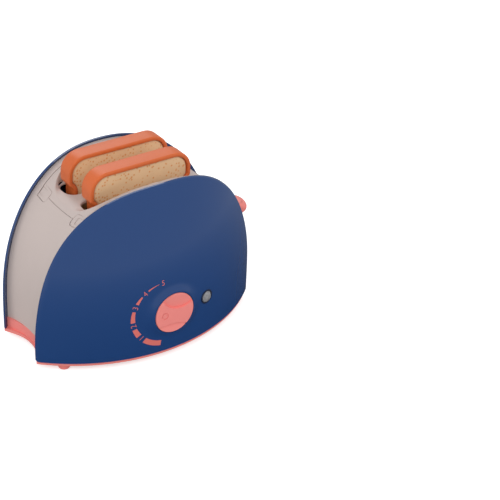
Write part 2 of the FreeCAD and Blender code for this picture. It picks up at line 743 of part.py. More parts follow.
def top_deck():
    region = deck_region(0)
    outer = BAND.common(region)
    skin = outer.cut(BAND_INSIDE)
    tub = dish(DISH_WALL).common(outer)
    deck = fused([skin, tub]).cut(dish(0))
    for side in (-1, 1):
        deck = deck.cut(slot_cut(side * TOAST_PITCH / 2))
    shallow = BAND.cut(band_envelope(GROOVE_DEPTH))
    groove_end = DECK_HALF_LENGTH + SEAM_GAP
    inner_side = block(-groove_end, groove_end, -BAND_HALF_DEPTH, BAND_HALF_DEPTH,
                       PANEL_BOTTOM_Z, CASE_HIGH_Z)
    for side in (-1, 1):
        for end in (-1, 1):
            ring = tab_block(side, end, GROOVE_WIDTH / 2).cut(tab_block(side, end, -GROOVE_WIDTH / 2))
            deck = deck.cut(ring.common(inner_side).common(shallow))
            pad = tab_block(side, end, -TAB_INSET)
            pad.translate(V(0, side * TAB_RECESS_START, 0))
            deck = deck.cut(pad.common(shallow))
    return deck.removeSplitter()


def cell_box_half():
    length = CELL_LENGTH / 2 + CELL_NUB + CONTACT_GAP + CONTACT_THICKNESS
    width = 2 * CELL_RADIUS + 2 * CELL_CLEARANCE
    return length, width


CELL_Z = FOOT_HEIGHT + DOOR_THICKNESS + CELL_RADIUS + CELL_CLEARANCE
CELL_BOX_TOP = CELL_Z + CELL_RADIUS + CELL_CLEARANCE
CELL_HALF_LENGTH, CELL_HALF_WIDTH = cell_box_half()
DOOR_LEFT = -CELL_HALF_LENGTH - DOOR_TONGUE


def base_tray():
    layer = block(-CASE_HALF_LENGTH, CASE_HALF_LENGTH, -BAND_HALF_DEPTH, BAND_HALF_DEPTH,
                  FOOT_HEIGHT, PANEL_BOTTOM_Z)
    plate = core(BASE_SETBACK).common(band_envelope(-BASE_LEDGE, BASE_GAP + BASE_LEDGE)).common(layer)
    height = block(-CASE_HALF_LENGTH, CASE_HALF_LENGTH, -BAND_HALF_DEPTH, BAND_HALF_DEPTH,
                   PANEL_BOTTOM_Z, BASE_TOP_Z)
    ring = CORE.common(BAND).common(height)
    ring = ring.cut(core(INSIDE_DEPTH + BODY_WALL).common(BAND_INSIDE))
    for side in (-1, 1):
        for ear in panel_ears(side):
            box = ear.BoundBox
            ring = ring.cut(block(box.XMin - CASE_FIT, box.XMax + CASE_FIT, box.YMin - CASE_FIT,
                                  box.YMax + CASE_FIT, PANEL_BOTTOM_Z, BASE_TOP_Z))
    pieces = [plate, ring.cut(dial_boss(CASE_FIT))]
    cell_room = block(-CELL_HALF_LENGTH, CELL_HALF_LENGTH, -CELL_HALF_WIDTH, CELL_HALF_WIDTH, 0, CELL_BOX_TOP)
    cell_box = block(-CELL_HALF_LENGTH - CELL_BOX_WALL, CELL_HALF_LENGTH + CELL_BOX_WALL,
                     -CELL_HALF_WIDTH - CELL_BOX_WALL, CELL_HALF_WIDTH + CELL_BOX_WALL,
                     FOOT_HEIGHT, CELL_BOX_TOP + CELL_BOX_WALL)
    pieces.append(cell_box)
    door_boss_x = DOOR_LEFT + DOOR_TONGUE / 2
    pieces.append(upright(SCREW_BOSS_RADIUS, door_boss_x, 0, FOOT_HEIGHT, BASE_TOP_Z))
    for x, y in rod_places():
        pieces.append(upright(ROD_SOCKET_RADIUS, x, y, FOOT_HEIGHT, ROD_SEAT_Z))
    tray = fused(pieces)
    tray = tray.cut(cell_room)
    tray = tray.cut(block(DOOR_LEFT - DOOR_CLEARANCE, CELL_HALF_LENGTH + DOOR_CLEARANCE,
                          -CELL_HALF_WIDTH - DOOR_CLEARANCE, CELL_HALF_WIDTH + DOOR_CLEARANCE,
                          0, FOOT_HEIGHT + DOOR_THICKNESS))
    tray = tray.cut(upright(SCREW_RADIUS, door_boss_x, 0, 0, BASE_TOP_Z - DOOR_SCREW_ROOF))
    for x, y in rod_places():
        tray = tray.cut(upright(ROD_RADIUS, x, y, PANEL_BOTTOM_Z - ROD_SINK, ROD_SEAT_Z + PAST))
    for x, y in screw_places():
        tray = tray.cut(upright(SCREW_BOSS_RADIUS + CASE_FIT, x, y, PANEL_BOTTOM_Z, BASE_TOP_Z))
        tray = tray.cut(screw_room(x, y))
    for side in (-1, 1):
        for x in (-EAR_X, EAR_X):
            tray = tray.cut(screw_room(x, ear_screw_y(side)))
    for x, y in foot_places():
        tray = tray.cut(upright(FOOT_SPIGOT_RADIUS, x, y, 0, PANEL_BOTTOM_Z))
    return tray


def screw_room(x, y):
    """Clearance for one upright screw and its sunk head."""
    head = upright(SCREW_HEAD_RADIUS + CASE_FIT, x, y, 0, FOOT_HEIGHT + SCREW_HEAD_HEIGHT)
    return head.fuse(upright(SCREW_RADIUS + CASE_FIT, x, y, 0, BASE_TOP_Z))


def upright_screw(x, y, head_low_z, length):
    """A pan-head screw driven upwards, with a cross recess in its head."""
    head = upright(SCREW_HEAD_RADIUS, x, y, head_low_z, head_low_z + SCREW_HEAD_HEIGHT)
    shank = upright(SCREW_RADIUS, x, y, head_low_z + SCREW_HEAD_HEIGHT, head_low_z + length)
    reach, half, deep = SCREW_CROSS_REACH, SCREW_CROSS_HALF_WIDTH, head_low_z + SCREW_CROSS_DEPTH
    cross = block(x - reach, x + reach, y - half, y + half, head_low_z, deep).fuse(
        block(x - half, x + half, y - reach, y + reach, head_low_z, deep))
    return head.fuse(shank).removeSplitter().cut(cross)


def foot_places():
    return [(x, y) for x in (-FOOT_X, FOOT_X) for y in (-FOOT_Y, FOOT_Y)]


def feet():
    solids = []
    for x, y in foot_places():
        pad = upright(FOOT_RADIUS, x, y, 0, FOOT_HEIGHT)
        low_edge = [e for e in pad.Edges if abs(e.CenterOfMass.z) < TOUCH and e.Length > FOOT_RADIUS]
        pad = pad.makeFillet(FOOT_EDGE_RADIUS, low_edge)
        spigot = upright(FOOT_SPIGOT_RADIUS, x, y, FOOT_HEIGHT, PANEL_BOTTOM_Z)
        solids.append(pad.fuse(spigot).removeSplitter())
    return Part.makeCompound(solids)


# Toast

def toast_outline(inset):
    """Bread-slice outline in X and Z, drawn in by inset: wide shoulders, a neck and a straight foot."""
    half = TOAST_WIDTH / 2 - inset
    top = TOAST_HEIGHT - inset
    shoulder = TOAST_SHOULDER_RADIUS - inset
    foot = TOAST_FOOT_RADIUS - inset
    bend = math.radians(TOAST_NECK_ANGLE)
    neck_radius = TOAST_NECK / (2 * (1 - math.cos(bend)))
    lobe_z = TOAST_HEIGHT - TOAST_LOBE_HEIGHT
    upper = neck_radius - inset
    lower = neck_radius + inset
    waist = half - TOAST_NECK
    waist_z = lobe_z - 2 * neck_radius * math.sin(bend)

    def right_side():
        join = V(half - upper * (1 - math.cos(bend)), 0, lobe_z - upper * math.sin(bend))
        upper_mid = V(half - upper * (1 - math.cos(bend / 2)), 0, lobe_z - upper * math.sin(bend / 2))
        lower_mid = V(waist + lower * (1 - math.cos(bend / 2)), 0, waist_z + lower * math.sin(bend / 2))
        shoulder_mid = V(half - shoulder * (1 - math.sqrt(0.5)), 0, top - shoulder * (1 - math.sqrt(0.5)))
        foot_mid = V(waist - foot * (1 - math.sqrt(0.5)), 0, inset + foot * (1 - math.sqrt(0.5)))
        return [
            ("arc", V(half - shoulder, 0, top), shoulder_mid, V(half, 0, top - shoulder)),
            ("line", V(half, 0, top - shoulder), None, V(half, 0, lobe_z)),
            ("arc", V(half, 0, lobe_z), upper_mid, join),
            ("arc", join, lower_mid, V(waist, 0, waist_z)),
            ("line", V(waist, 0, waist_z), None, V(waist, 0, inset + foot)),
            ("arc", V(waist, 0, inset + foot), foot_mid, V(waist - foot, 0, inset)),
        ]

    def flipped(point):
        return V(-point.x, 0, point.z)

    edges = []
    for kind, start, middle, end in right_side():
        if kind == "arc":
            edges.append(Part.Arc(start, middle, end).toShape())
            edges.append(Part.Arc(flipped(start), flipped(middle), flipped(end)).toShape())
        else:
            edges.append(Part.makeLine(start, end))
            edges.append(Part.makeLine(flipped(start), flipped(end)))
    edges.append(Part.makeLine(V(half - shoulder, 0, top), V(shoulder - half, 0, top)))
    edges.append(Part.makeLine(V(waist - foot, 0, inset), V(foot - waist, 0, inset)))
    return Part.Face(Part.Wire(Part.__sortEdges__(edges)))


def toast_slab(inset, thickness, y):
    slab = toast_outline(inset).extrude(V(0, thickness, 0))
    slab.translate(V(TOAST_CENTRE_X, y - thickness / 2, TOAST_BOTTOM_Z))
    return slab


def toast_crust(y):
    return toast_slab(0, TOAST_THICKNESS, y).cut(toast_slab(CRUST_WALL, TOAST_THICKNESS + 2 * PAST, y))


def toast_bread(y):
    """The two face plates of a hollow slice, set inside the crust and below its rims."""
    reach = (TOAST_THICKNESS - BREAD_FACE) / 2 - CRUST_PROUD
    return Part.makeCompound([toast_slab(CRUST_WALL, BREAD_FACE, y + side * reach) for side in (-1, 1)])


# Carriage

def toast_carriage():
    """Tray under the slices: ribs that stand them up, two bush holders, an arm socket and a catch lug."""
    hold = BUSH_RADIUS + BUSH_HOLD_WALL
    bush_top = BUSH_LOW_Z + BUSH_LENGTH
    pieces = [block(ROD_LEFT_X, ROD_RIGHT_X, -TRAY_SPINE_HALF_WIDTH, TRAY_SPINE_HALF_WIDTH,
                    TRAY_BOTTOM_Z, TOAST_BOTTOM_Z)]
    pieces.append(block(TOAST_CENTRE_X - TRAY_RIB_HALF_LENGTH, TOAST_CENTRE_X + TRAY_RIB_HALF_LENGTH,
                        -TRAY_HALF_WIDTH, TRAY_HALF_WIDTH, TRAY_BOTTOM_Z, TOAST_BOTTOM_Z))
    rib_top = TOAST_BOTTOM_Z + TRAY_RIB_HEIGHT
    for side in (-1, 1):
        for face in (-1, 1):
            near = side * TOAST_PITCH / 2 + face * (TOAST_THICKNESS / 2 + TRAY_RIB_CLEARANCE)
            far = near + face * TRAY_RIB_THICKNESS
            pieces.append(block(TOAST_CENTRE_X - TRAY_RIB_HALF_LENGTH, TOAST_CENTRE_X + TRAY_RIB_HALF_LENGTH,
                                min(near, far), max(near, far), TRAY_BOTTOM_Z, rib_top))
    for x, y in rod_places():
        pieces.append(upright(hold, x, y, BUSH_LOW_Z, bush_top))
    socket_x = ROD_RIGHT_X + hold
    socket_half_width, socket_half_height = ARM_WIDTH / 2 + BODY_WALL, ARM_HEIGHT / 2 + BODY_WALL
    pieces.append(block(ROD_RIGHT_X, socket_x + ARM_GRIP, -socket_half_width, socket_half_width,
                        LEVER_Z - socket_half_height, LEVER_Z + socket_half_height))
    pieces.append(block(LUG_LEFT_X, LUG_RIGHT_X, CATCH_PLANE_Y + CATCH_THICKNESS - LUG_OVERHANG,
                        -TRAY_HALF_WIDTH + JOIN, TRAY_BOTTOM_Z, TOAST_BOTTOM_Z))
    tray = fused(pieces)
    for x, y in rod_places():
        tray = tray.cut(upright(BUSH_RADIUS, x, y, BUSH_LOW_Z - PAST, bush_top + PAST))
    return tray.cut(arm_bar(socket_x, socket_x + ARM_GRIP + PAST))


def arm_bar(x_low, x_high):
    return block(x_low, x_high, -ARM_WIDTH / 2, ARM_WIDTH / 2,
                 LEVER_Z - ARM_HEIGHT / 2, LEVER_Z + ARM_HEIGHT / 2)


def carriage_bushes():
    solids = []
    for x, y in rod_places():
        sleeve = upright(BUSH_RADIUS, x, y, BUSH_LOW_Z, BUSH_LOW_Z + BUSH_LENGTH)
        solids.append(sleeve.cut(upright(ROD_RADIUS + SLIDE_CLEARANCE, x, y, 0, ROD_TOP_Z)))
    return Part.makeCompound(solids)


def lever_arm():
    return arm_bar(ROD_RIGHT_X + BUSH_RADIUS + BUSH_HOLD_WALL, PADDLE_X)


def lever_paddle():
    """Thumb paddle: a thick oval tab with a full, soft edge."""
    oval = Part.Ellipse(V(0, 0, 0), PADDLE_HALF_WIDTH, PADDLE_HALF_LENGTH)
    face = Part.Face(Part.Wire([oval.toShape()]))
    slab = face.extrude(V(0, 0, PADDLE_THICKNESS))
    rims = [e for e in slab.Edges if e.Length > 2 * PADDLE_HALF_WIDTH]
    slab = slab.makeFillet(PADDLE_EDGE_RADIUS, rims)
    slab.rotate(V(0, 0, 0), V(0, 0, 1), 90)
    slab.translate(V(PADDLE_X, 0, LEVER_Z - PADDLE_THICKNESS / 2))
    return slab.cut(arm_bar(0, PADDLE_X))


def guide_rods():
    return Part.makeCompound([upright(ROD_RADIUS, x, y, PANEL_BOTTOM_Z - ROD_SINK, ROD_TOP_Z)
                              for x, y in rod_places()])


def coil(x, y, z_low, z_high, radius, wire, turns):
    """A compression spring: an upright helix of quarter-turn arcs, swept by its wire."""
    quarters = turns * 4
    rise = (z_high - z_low - 2 * wire) / quarters

    def on_helix(quarter):
        turn = math.pi / 2 * quarter
        return V(x + radius * math.cos(turn), y + radius * math.sin(turn), z_low + wire + rise * quarter)

    arcs = [Part.Arc(on_helix(q), on_helix(q + 0.5), on_helix(q + 1)).toShape() for q in range(quarters)]
    path = Part.Wire(arcs)
    first = path.Edges[0]
    section = Part.Wire([Part.Circle(on_helix(0), first.tangentAt(first.FirstParameter), wire).toShape()])
    solid = path.makePipeShell([section], True, False)
    gap = rise * 4 - 2 * wire
    print("coil of radius %.1f: gap between turns %.2f, volume %.1f against %.1f"
          % (radius, gap, solid.Volume, math.pi * wire ** 2 * path.Length))
    return solid


def lift_springs():
    coils = [coil(x, y, ROD_SEAT_Z, BUSH_LOW_Z, SPRING_RADIUS, SPRING_WIRE_RADIUS, SPRING_TURNS)
             for x, y in rod_places()]
    return Part.makeCompound(coils)


# Knob, scale and lamp

def timer_knob():
    """A disc with two scoops, each flush with the face at the rim and deepest along the grip bar."""
    knob = crosswise(KNOB_RADIUS, 0, 0, KNOB_FACE_Y, KNOB_FACE_Y + KNOB_THICKNESS)
    face_edge = [e for e in knob.Edges if abs(e.CenterOfMass.y - KNOB_FACE_Y) < TOUCH]
    knob = knob.makeFillet(KNOB_EDGE_RADIUS, face_edge)
    for direction, edge, radius, depth in KNOB_SCOOPS:
        slant = math.degrees(math.atan2(depth, KNOB_RADIUS - edge))
        scoop = crosswise(radius, 0, edge + radius, KNOB_FACE_Y - 2 * KNOB_THICKNESS, KNOB_FACE_Y)
        scoop.rotate(V(0, KNOB_FACE_Y, KNOB_RADIUS), V(1, 0, 0), slant)
        scoop.rotate(V(0, 0, 0), V(0, 1, 0), 90 - direction)
        knob = knob.cut(scoop)
    mark_low, mark_high = KNOB_FACE_Y - PAST, KNOB_FACE_Y + KNOB_MARK_LINE
    mark = crosswise(KNOB_MARK_RADIUS, -KNOB_MARK_REACH, 0, mark_low, mark_high)
    mark = mark.cut(crosswise(KNOB_MARK_RADIUS - KNOB_MARK_LINE, -KNOB_MARK_REACH, 0, mark_low, mark_high))
    knob = knob.cut(mark)
    knob = knob.cut(crosswise(SHAFT_RADIUS, 0, 0, shaft_front_y(), DIAL_FLOOR_Y))
    knob.translate(V(0, 0, KNOB_Z))
    return knob


def shaft_front_y():
    return KNOB_FACE_Y + KNOB_SCOOP_DEPTH + KNOB_SHAFT_COVER


def scale_band(index):
    """One band of the print, tapered between two stops, as an upright plate to cut from the face's skin."""
    room = math.degrees(SCALE_DIGIT_ROOM / 2 / SCALE_RADIUS)
    last = index == len(SCALE_STOPS) - 2
    start = math.radians(SCALE_STOPS[index] + room)
    end = math.radians(SCALE_STOPS[index + 1] - (0 if last else room))
    out_start = SCALE_WIDTHS[index] / 2
    out_end = SCALE_WIDTHS[index + 1] / 2

    def spot(turn, offset):
        radius = SCALE_RADIUS + offset
        return V(SCALE_CENTRE_X + radius * math.cos(turn), PANEL_FACE_Y - SCALE_CUT_FRONT,
                 SCALE_CENTRE_Z + radius * math.sin(turn))

    middle = (start + end) / 2
    out_middle = (out_start + out_end) / 2
    edges = [
        Part.Arc(spot(start, out_start), spot(middle, out_middle), spot(end, out_end)).toShape(),
        Part.makeLine(spot(end, out_end), spot(end, -out_end)),
        Part.Arc(spot(end, -out_end), spot(middle, -out_middle), spot(start, -out_start)).toShape(),
        Part.makeLine(spot(start, -out_start), spot(start, out_start)),
    ]
    return Part.Face(Part.Wire(edges)).extrude(V(0, SCALE_CUT_DEPTH, 0))


def dial_scale():
    skin = bulge(-1, -SCALE_PRINT).cut(bulge(-1, 0))
    return Part.makeCompound([skin.common(scale_band(index)) for index in range(len(SCALE_STOPS) - 1)])


def lamp_lens():
    barrel = crosswise(LENS_RADIUS, 0, 0, -LENS_STEP, LENS_BACK)
    flange = crosswise(LENS_FLANGE_RADIUS, 0, 0, PANEL_SKIN, LENS_BACK)
    wide = facet_ring(LENS_RADIUS - LENS_STEP, -LENS_STEP)
    narrow = facet_ring(LENS_TABLE_RADIUS, -LENS_PROUD)
    gem = Part.makeLoft([wide, narrow], True, True)
    return at_lamp(fused([barrel, flange, gem]))


def facet_ring(radius, y):
    points = []
    for step in range(LENS_FACETS + 1):
        turn = 2 * math.pi * step / LENS_FACETS
        points.append(V(radius * math.cos(turn), y, radius * math.sin(turn)))
    return Part.makePolygon(points)


def lamp_bezel():
    ring = crosswise(BEZEL_RADIUS, 0, 0, -BEZEL_PROUD, PANEL_SKIN)
    return at_lamp(ring.cut(crosswise(LENS_RADIUS, 0, 0, -BEZEL_PROUD - PAST, PANEL_SKIN + PAST)))


def led():
    body = crosswise(LED_RADIUS, 0, 0, LED_TIP + LED_RADIUS, BOARD_FRONT)
    dome = Part.makeSphere(LED_RADIUS, V(0, LED_TIP + LED_RADIUS, 0))
    rim = crosswise(LED_RADIUS + LED_RIM, 0, 0, BOARD_FRONT - LED_RIM_LENGTH, BOARD_FRONT)
    return at_lamp(fused([body, dome, rim]))


def lamp_board():
    board = block(BOARD_LEFT, BOARD_LEFT + BOARD_LENGTH, BOARD_FRONT, BOARD_FRONT + BOARD_THICKNESS,
                  -BOARD_HEIGHT / 2, BOARD_HEIGHT / 2)
    return at_lamp(board)


# Timer

def toothed_wheel(teeth, thickness, y, phase):
    """A spur gear about the Y axis, with straight-sided teeth and a tooth centred on phase degrees."""
    pitch = GEAR_MODULE * teeth / 2
    tip = pitch + GEAR_MODULE * GEAR_ADDENDUM
    root = pitch - GEAR_MODULE * GEAR_DEDENDUM
    tooth = math.pi * GEAR_MODULE / 2 - GEAR_BACKLASH
    slope = math.tan(math.radians(GEAR_PRESSURE_ANGLE))
    at_root = tooth / 2 + slope * (pitch - root)
    at_tip = tooth / 2 - slope * (tip - pitch)
    points = []
    for index in range(teeth):
        centre = math.radians(phase) + 2 * math.pi * index / teeth
        for radius, offset in ((root, -at_root), (tip, -at_tip), (tip, at_tip), (root, at_root)):
            turn = centre + offset / radius
            points.append(V(radius * math.cos(turn), y, radius * math.sin(turn)))
    points.append(points[0])
    return Part.Face(Part.makePolygon(points)).extrude(V(0, thickness, 0))


def timer_gear():
    gear = toothed_wheel(GEAR_TEETH, GEAR_THICKNESS, GEAR_Y, MESH_ANGLE)
    back = GEAR_Y + GEAR_THICKNESS
    for index in range(GEAR_HOLES):
        turn = math.radians(MESH_ANGLE) + 2 * math.pi * (index + 0.5) / GEAR_HOLES
        gear = gear.cut(crosswise(GEAR_HOLE_RADIUS, GEAR_HOLE_REACH * math.cos(turn),
                                  GEAR_HOLE_REACH * math.sin(turn), GEAR_Y - PAST, back + PAST))
    hub_low, hub_high = GEAR_Y - GEAR_HUB_FRONT, back + GEAR_HUB_BACK
    gear = gear.fuse(crosswise(SHAFT_RADIUS + GEAR_HUB_WALL, 0, 0, hub_low, hub_high))
    gear = gear.cut(crosswise(SHAFT_RADIUS, 0, 0, hub_low - PAST, hub_high + PAST))
    gear.translate(V(0, 0, KNOB_Z))
    return gear


def timer_shaft():
    end_y = CAM_Y + CAM_THICKNESS
    return crosswise(SHAFT_RADIUS, 0, KNOB_Z, shaft_front_y(), end_y)


def release_cam():
    """A disc with one lobe, which reaches the catch when the dial has run down."""
    lobe_turn = math.radians(REST_ANGLE - CAM_START_ANGLE)
    disc = crosswise(CAM_RADIUS, 0, 0, CAM_Y, CAM_Y + CAM_THICKNESS)
    lobe_centre = CAM_LOBE_RADIUS - CAM_LOBE_TIP
    lobe = crosswise(CAM_LOBE_TIP, lobe_centre * math.cos(lobe_turn), lobe_centre * math.sin(lobe_turn),
                     CAM_Y, CAM_Y + CAM_THICKNESS)
    cam = disc.fuse(lobe).removeSplitter()
    cam = cam.cut(crosswise(SHAFT_RADIUS, 0, 0, CAM_Y - PAST, CAM_Y + CAM_THICKNESS + PAST))
    cam.translate(V(0, 0, KNOB_Z))
    return cam


def escape_wheel():
    """Pointed escape wheel, hub and pinion in one, in mesh with the timer gear."""
    points = []
    for index in range(ESCAPE_TEETH):
        turn = 2 * math.pi * index / ESCAPE_TEETH
        lean = turn + 2 * math.pi / ESCAPE_TEETH * ESCAPE_TIP_SHARE
        root = turn + 2 * math.pi / ESCAPE_TEETH * ESCAPE_FLANK_SHARE
        points.append(V(ESCAPE_ROOT_RADIUS * math.cos(turn), ESCAPE_Y, ESCAPE_ROOT_RADIUS * math.sin(turn)))
        points.append(V(ESCAPE_TIP_RADIUS * math.cos(lean), ESCAPE_Y, ESCAPE_TIP_RADIUS * math.sin(lean)))
        points.append(V(ESCAPE_ROOT_RADIUS * math.cos(root), ESCAPE_Y, ESCAPE_ROOT_RADIUS * math.sin(root)))
    points.append(points[0])
    wheel = Part.Face(Part.makePolygon(points)).extrude(V(0, ESCAPE_THICKNESS, 0))
    phase = MESH_ANGLE + 180 + 180.0 / PINION_TEETH
    pinion = toothed_wheel(PINION_TEETH, GEAR_THICKNESS + 2 * PINION_MARGIN, GEAR_Y - PINION_MARGIN, phase)
    hub = crosswise(ESCAPE_HUB_RADIUS, 0, 0, ESCAPE_Y, GEAR_Y)
    piece = fused([wheel, hub, pinion])
    piece = piece.cut(crosswise(ARBOR_RADIUS + SHAFT_CLEARANCE, 0, 0, ESCAPE_Y - PAST, BACK_PLATE_Y))
    piece.translate(V(ESCAPE_X, 0, ESCAPE_Z))
    return piece


def plate_to_plate(x, z, radius):
    return crosswise(radius, x, z, FRONT_PLATE_Y, BACK_PLATE_Y + PLATE_THICKNESS)


def escape_arbor():
    return plate_to_plate(ESCAPE_X, ESCAPE_Z, ARBOR_RADIUS)


def pallet_arbor():
    return plate_to_plate(ESCAPE_X, PALLET_Z, ARBOR_RADIUS)


def pallet():
    """The ticking anchor: a hub with two arms, whose nibs stand just off the escape wheel's tips."""
    nib_radius = ESCAPE_TIP_RADIUS + PALLET_GAP
    hub = crosswise(PALLET_HUB_RADIUS, 0, 0, ESCAPE_Y, ESCAPE_Y + ESCAPE_THICKNESS)
    pieces = [hub]
    for side in (-1, 1):
        spread = math.radians(PALLET_SPREAD)
        nib_x = side * nib_radius * math.sin(spread)
        nib_z = nib_radius * math.cos(spread) - PALLET_RISE
        out_x = nib_x + side * PALLET_NIB_LENGTH * math.sin(spread)
        out_z = nib_z + PALLET_NIB_LENGTH * math.cos(spread)
        corners = [
            V(0, ESCAPE_Y, PALLET_ROOT_HALF_WIDTH),
            V(nib_x + side * PALLET_ELBOW_OUT, ESCAPE_Y, nib_z + PALLET_ELBOW_UP),
            V(out_x + side * PALLET_NIB_TOE, ESCAPE_Y, out_z - PALLET_NIB_TOE),
            V(nib_x, ESCAPE_Y, nib_z),
            V(out_x - side * PALLET_NIB_HEEL, ESCAPE_Y, out_z + PALLET_NIB_BACK),
            V(0, ESCAPE_Y, -PALLET_ROOT_HALF_WIDTH),
        ]
        pieces.append(Part.Face(Part.makePolygon(corners + [corners[0]])).extrude(V(0, ESCAPE_THICKNESS, 0)))
    anchor = fused(pieces)
    anchor = anchor.cut(crosswise(ARBOR_RADIUS + SHAFT_CLEARANCE, 0, 0, ESCAPE_Y - PAST,
                                  ESCAPE_Y + ESCAPE_THICKNESS + PAST))
    anchor.translate(V(ESCAPE_X, 0, PALLET_Z))
    return anchor


def post_places():
    return [(x, z) for x in (PLATE_LEFT_X + POST_MARGIN, PLATE_RIGHT_X - POST_MARGIN)
            for z in (PLATE_LOW_Z + POST_MARGIN, PLATE_HIGH_Z - POST_MARGIN)]


def timer_plate(y, with_ears):
    plate = block(PLATE_LEFT_X, PLATE_RIGHT_X, y, y + PLATE_THICKNESS, PLATE_LOW_Z, PLATE_HIGH_Z)
    corners = [e for e in plate.Edges if abs(e.tangentAt(e.FirstParameter).y) > 0.9]
    plate = plate.makeFillet(PLATE_CORNER_RADIUS, corners)
    if with_ears:
        for x, z in TIMER_EARS:
            edge_x = PLATE_LEFT_X if x < PLATE_LEFT_X else PLATE_RIGHT_X
            plate = plate.fuse(crosswise(PLATE_EAR_RADIUS, x, z, y, y + PLATE_THICKNESS))
            plate = plate.fuse(block(min(x, edge_x), max(x, edge_x), y, y + PLATE_THICKNESS,
                                     z - PLATE_EAR_RADIUS, z + PLATE_EAR_RADIUS))
            plate = plate.cut(crosswise(TIMER_SCREW_RADIUS, x, z, y - PAST, y + PLATE_THICKNESS + PAST))
    plate = plate.cut(crosswise(SHAFT_RADIUS + SHAFT_CLEARANCE, 0, KNOB_Z,
                                y - PAST, y + PLATE_THICKNESS + PAST))
    for x, z in ((ESCAPE_X, ESCAPE_Z), (ESCAPE_X, PALLET_Z)):
        plate = plate.cut(crosswise(ARBOR_RADIUS, x, z, y - PAST, y + PLATE_THICKNESS + PAST))
    return plate.removeSplitter()


def timer_front_plate():
    return timer_plate(FRONT_PLATE_Y, True)


def timer_back_plate():
    plate = timer_plate(BACK_PLATE_Y, False)
    plate = plate.cut(crosswise(CATCH_PIN_RADIUS, CATCH_X, CATCH_Z, BACK_PLATE_Y - PAST, CATCH_PLANE_Y))
    seat_z = catch_spring_low_z()
    seat_x = CATCH_X - CATCH_TAIL
    shelf = block(seat_x - SHELF_LEFT, seat_x + SHELF_RIGHT, BACK_PLATE_Y,
                  CATCH_PLANE_Y + CATCH_THICKNESS + SHELF_OVERHANG, seat_z - PLATE_THICKNESS, seat_z)
    return fused([plate, shelf])


def timer_posts():
    return Part.makeCompound([crosswise(POST_RADIUS, x, z, FRONT_PLATE_Y + PLATE_THICKNESS, BACK_PLATE_Y)
                              for x, z in post_places()])


def timer_screws():
    solids = []
    for x, z in TIMER_EARS:
        seat = FRONT_PLATE_Y + PLATE_THICKNESS
        top = seat + TIMER_SCREW_HEAD_HEIGHT
        head = crosswise(TIMER_SCREW_HEAD, x, z, seat, top)
        slot = block(x - TIMER_SCREW_SLOT_HALF_WIDTH, x + TIMER_SCREW_SLOT_HALF_WIDTH,
                     top - TIMER_SCREW_SLOT_DEPTH, top, z - TIMER_SCREW_HEAD, z + TIMER_SCREW_HEAD)
        shank = crosswise(TIMER_SCREW_RADIUS, x, z, FRONT_PLATE_Y - TIMER_SCREW_REACH, seat)
        solids.append(head.cut(slot).fuse(shank))
    return Part.makeCompound(solids)


def mainspring():
    """A flat spiral of half-turn arcs, whose centre swaps sides as the radius grows."""
    y = BACK_PLATE_Y - SPIRAL_GAP - SPIRAL_WIDTH
    inner, outer = [], []
    for index in range(SPIRAL_HALF_TURNS):
        radius = SPIRAL_START_RADIUS + index * SPIRAL_PITCH / 2
        sign = 1 if index % 2 else -1
        centre = sign * SPIRAL_PITCH / 4
        for edges, offset in ((inner, 0.0), (outer, SPIRAL_STRIP)):
            reach = radius + offset
            edges.append(Part.Arc(V(centre - sign * reach, y, 0), V(centre, y, sign * reach),
                                  V(centre + sign * reach, y, 0)).toShape())
    first_in, first_out = inner[0].Vertexes[0].Point, outer[0].Vertexes[0].Point
    last_in, last_out = inner[-1].Vertexes[1].Point, outer[-1].Vertexes[1].Point
    edges = inner + [Part.makeLine(last_in, last_out)] + outer + [Part.makeLine(first_out, first_in)]
    strip = Part.Face(Part.Wire(Part.__sortEdges__(edges))).extrude(V(0, SPIRAL_WIDTH, 0))
    strip.translate(V(0, 0, KNOB_Z))
    return strip


# Catch

def catch_spring_low_z():
    return CATCH_Z - CATCH_ARM_WIDTH / 2 - CATCH_SPRING_LENGTH


def catch_lever():
    """Hanging lever with a nose that hooks over the carriage's lug, a cam follower and a spring tail."""
    half = CATCH_ARM_WIDTH / 2
    back = CATCH_PLANE_Y + CATCH_THICKNESS
    low_z = CATCH_Z - CATCH_REACH
    pieces = [
        crosswise(half + CATCH_EYE_WALL, CATCH_X, CATCH_Z, CATCH_PLANE_Y, back),
        block(CATCH_X - half, CATCH_X + half, CATCH_PLANE_Y, back, low_z, CATCH_Z),
        block(CATCH_X - CATCH_TAIL - half, CATCH_X, CATCH_PLANE_Y, back, CATCH_Z - half, CATCH_Z + half),
        block(CATCH_X - half, CATCH_X + half + CATCH_NOSE, CAM_Y + CAM_THICKNESS + CATCH_PLAY,
              back + CATCH_NOSE_DEPTH, low_z, low_z + CATCH_NOSE_HEIGHT),
        block(CATCH_X, -CAM_LOBE_RADIUS - CATCH_FOLLOWER_GAP, CATCH_PLANE_Y, back,
              KNOB_Z - half, KNOB_Z + half),
    ]
    lever = fused(pieces)
    return lever.cut(crosswise(CATCH_PIN_RADIUS + SHAFT_CLEARANCE, CATCH_X, CATCH_Z,
                               CATCH_PLANE_Y - PAST, back + PAST))


def catch_pin():
    seat = CATCH_PLANE_Y + CATCH_THICKNESS + CATCH_PIN_PLAY
    pin = crosswise(CATCH_PIN_RADIUS, CATCH_X, CATCH_Z, BACK_PLATE_Y, seat)
    head = crosswise(CATCH_PIN_RADIUS + CATCH_PIN_HEAD, CATCH_X, CATCH_Z, seat, seat + CATCH_PIN_HEAD)
    return pin.fuse(head).removeSplitter()


def catch_spring():
    y = CATCH_PLANE_Y + CATCH_THICKNESS / 2
    return coil(CATCH_X - CATCH_TAIL, y, catch_spring_low_z(), CATCH_Z - CATCH_ARM_WIDTH / 2,
                CATCH_SPRING_RADIUS, CATCH_SPRING_WIRE, CATCH_SPRING_TURNS)


# Power

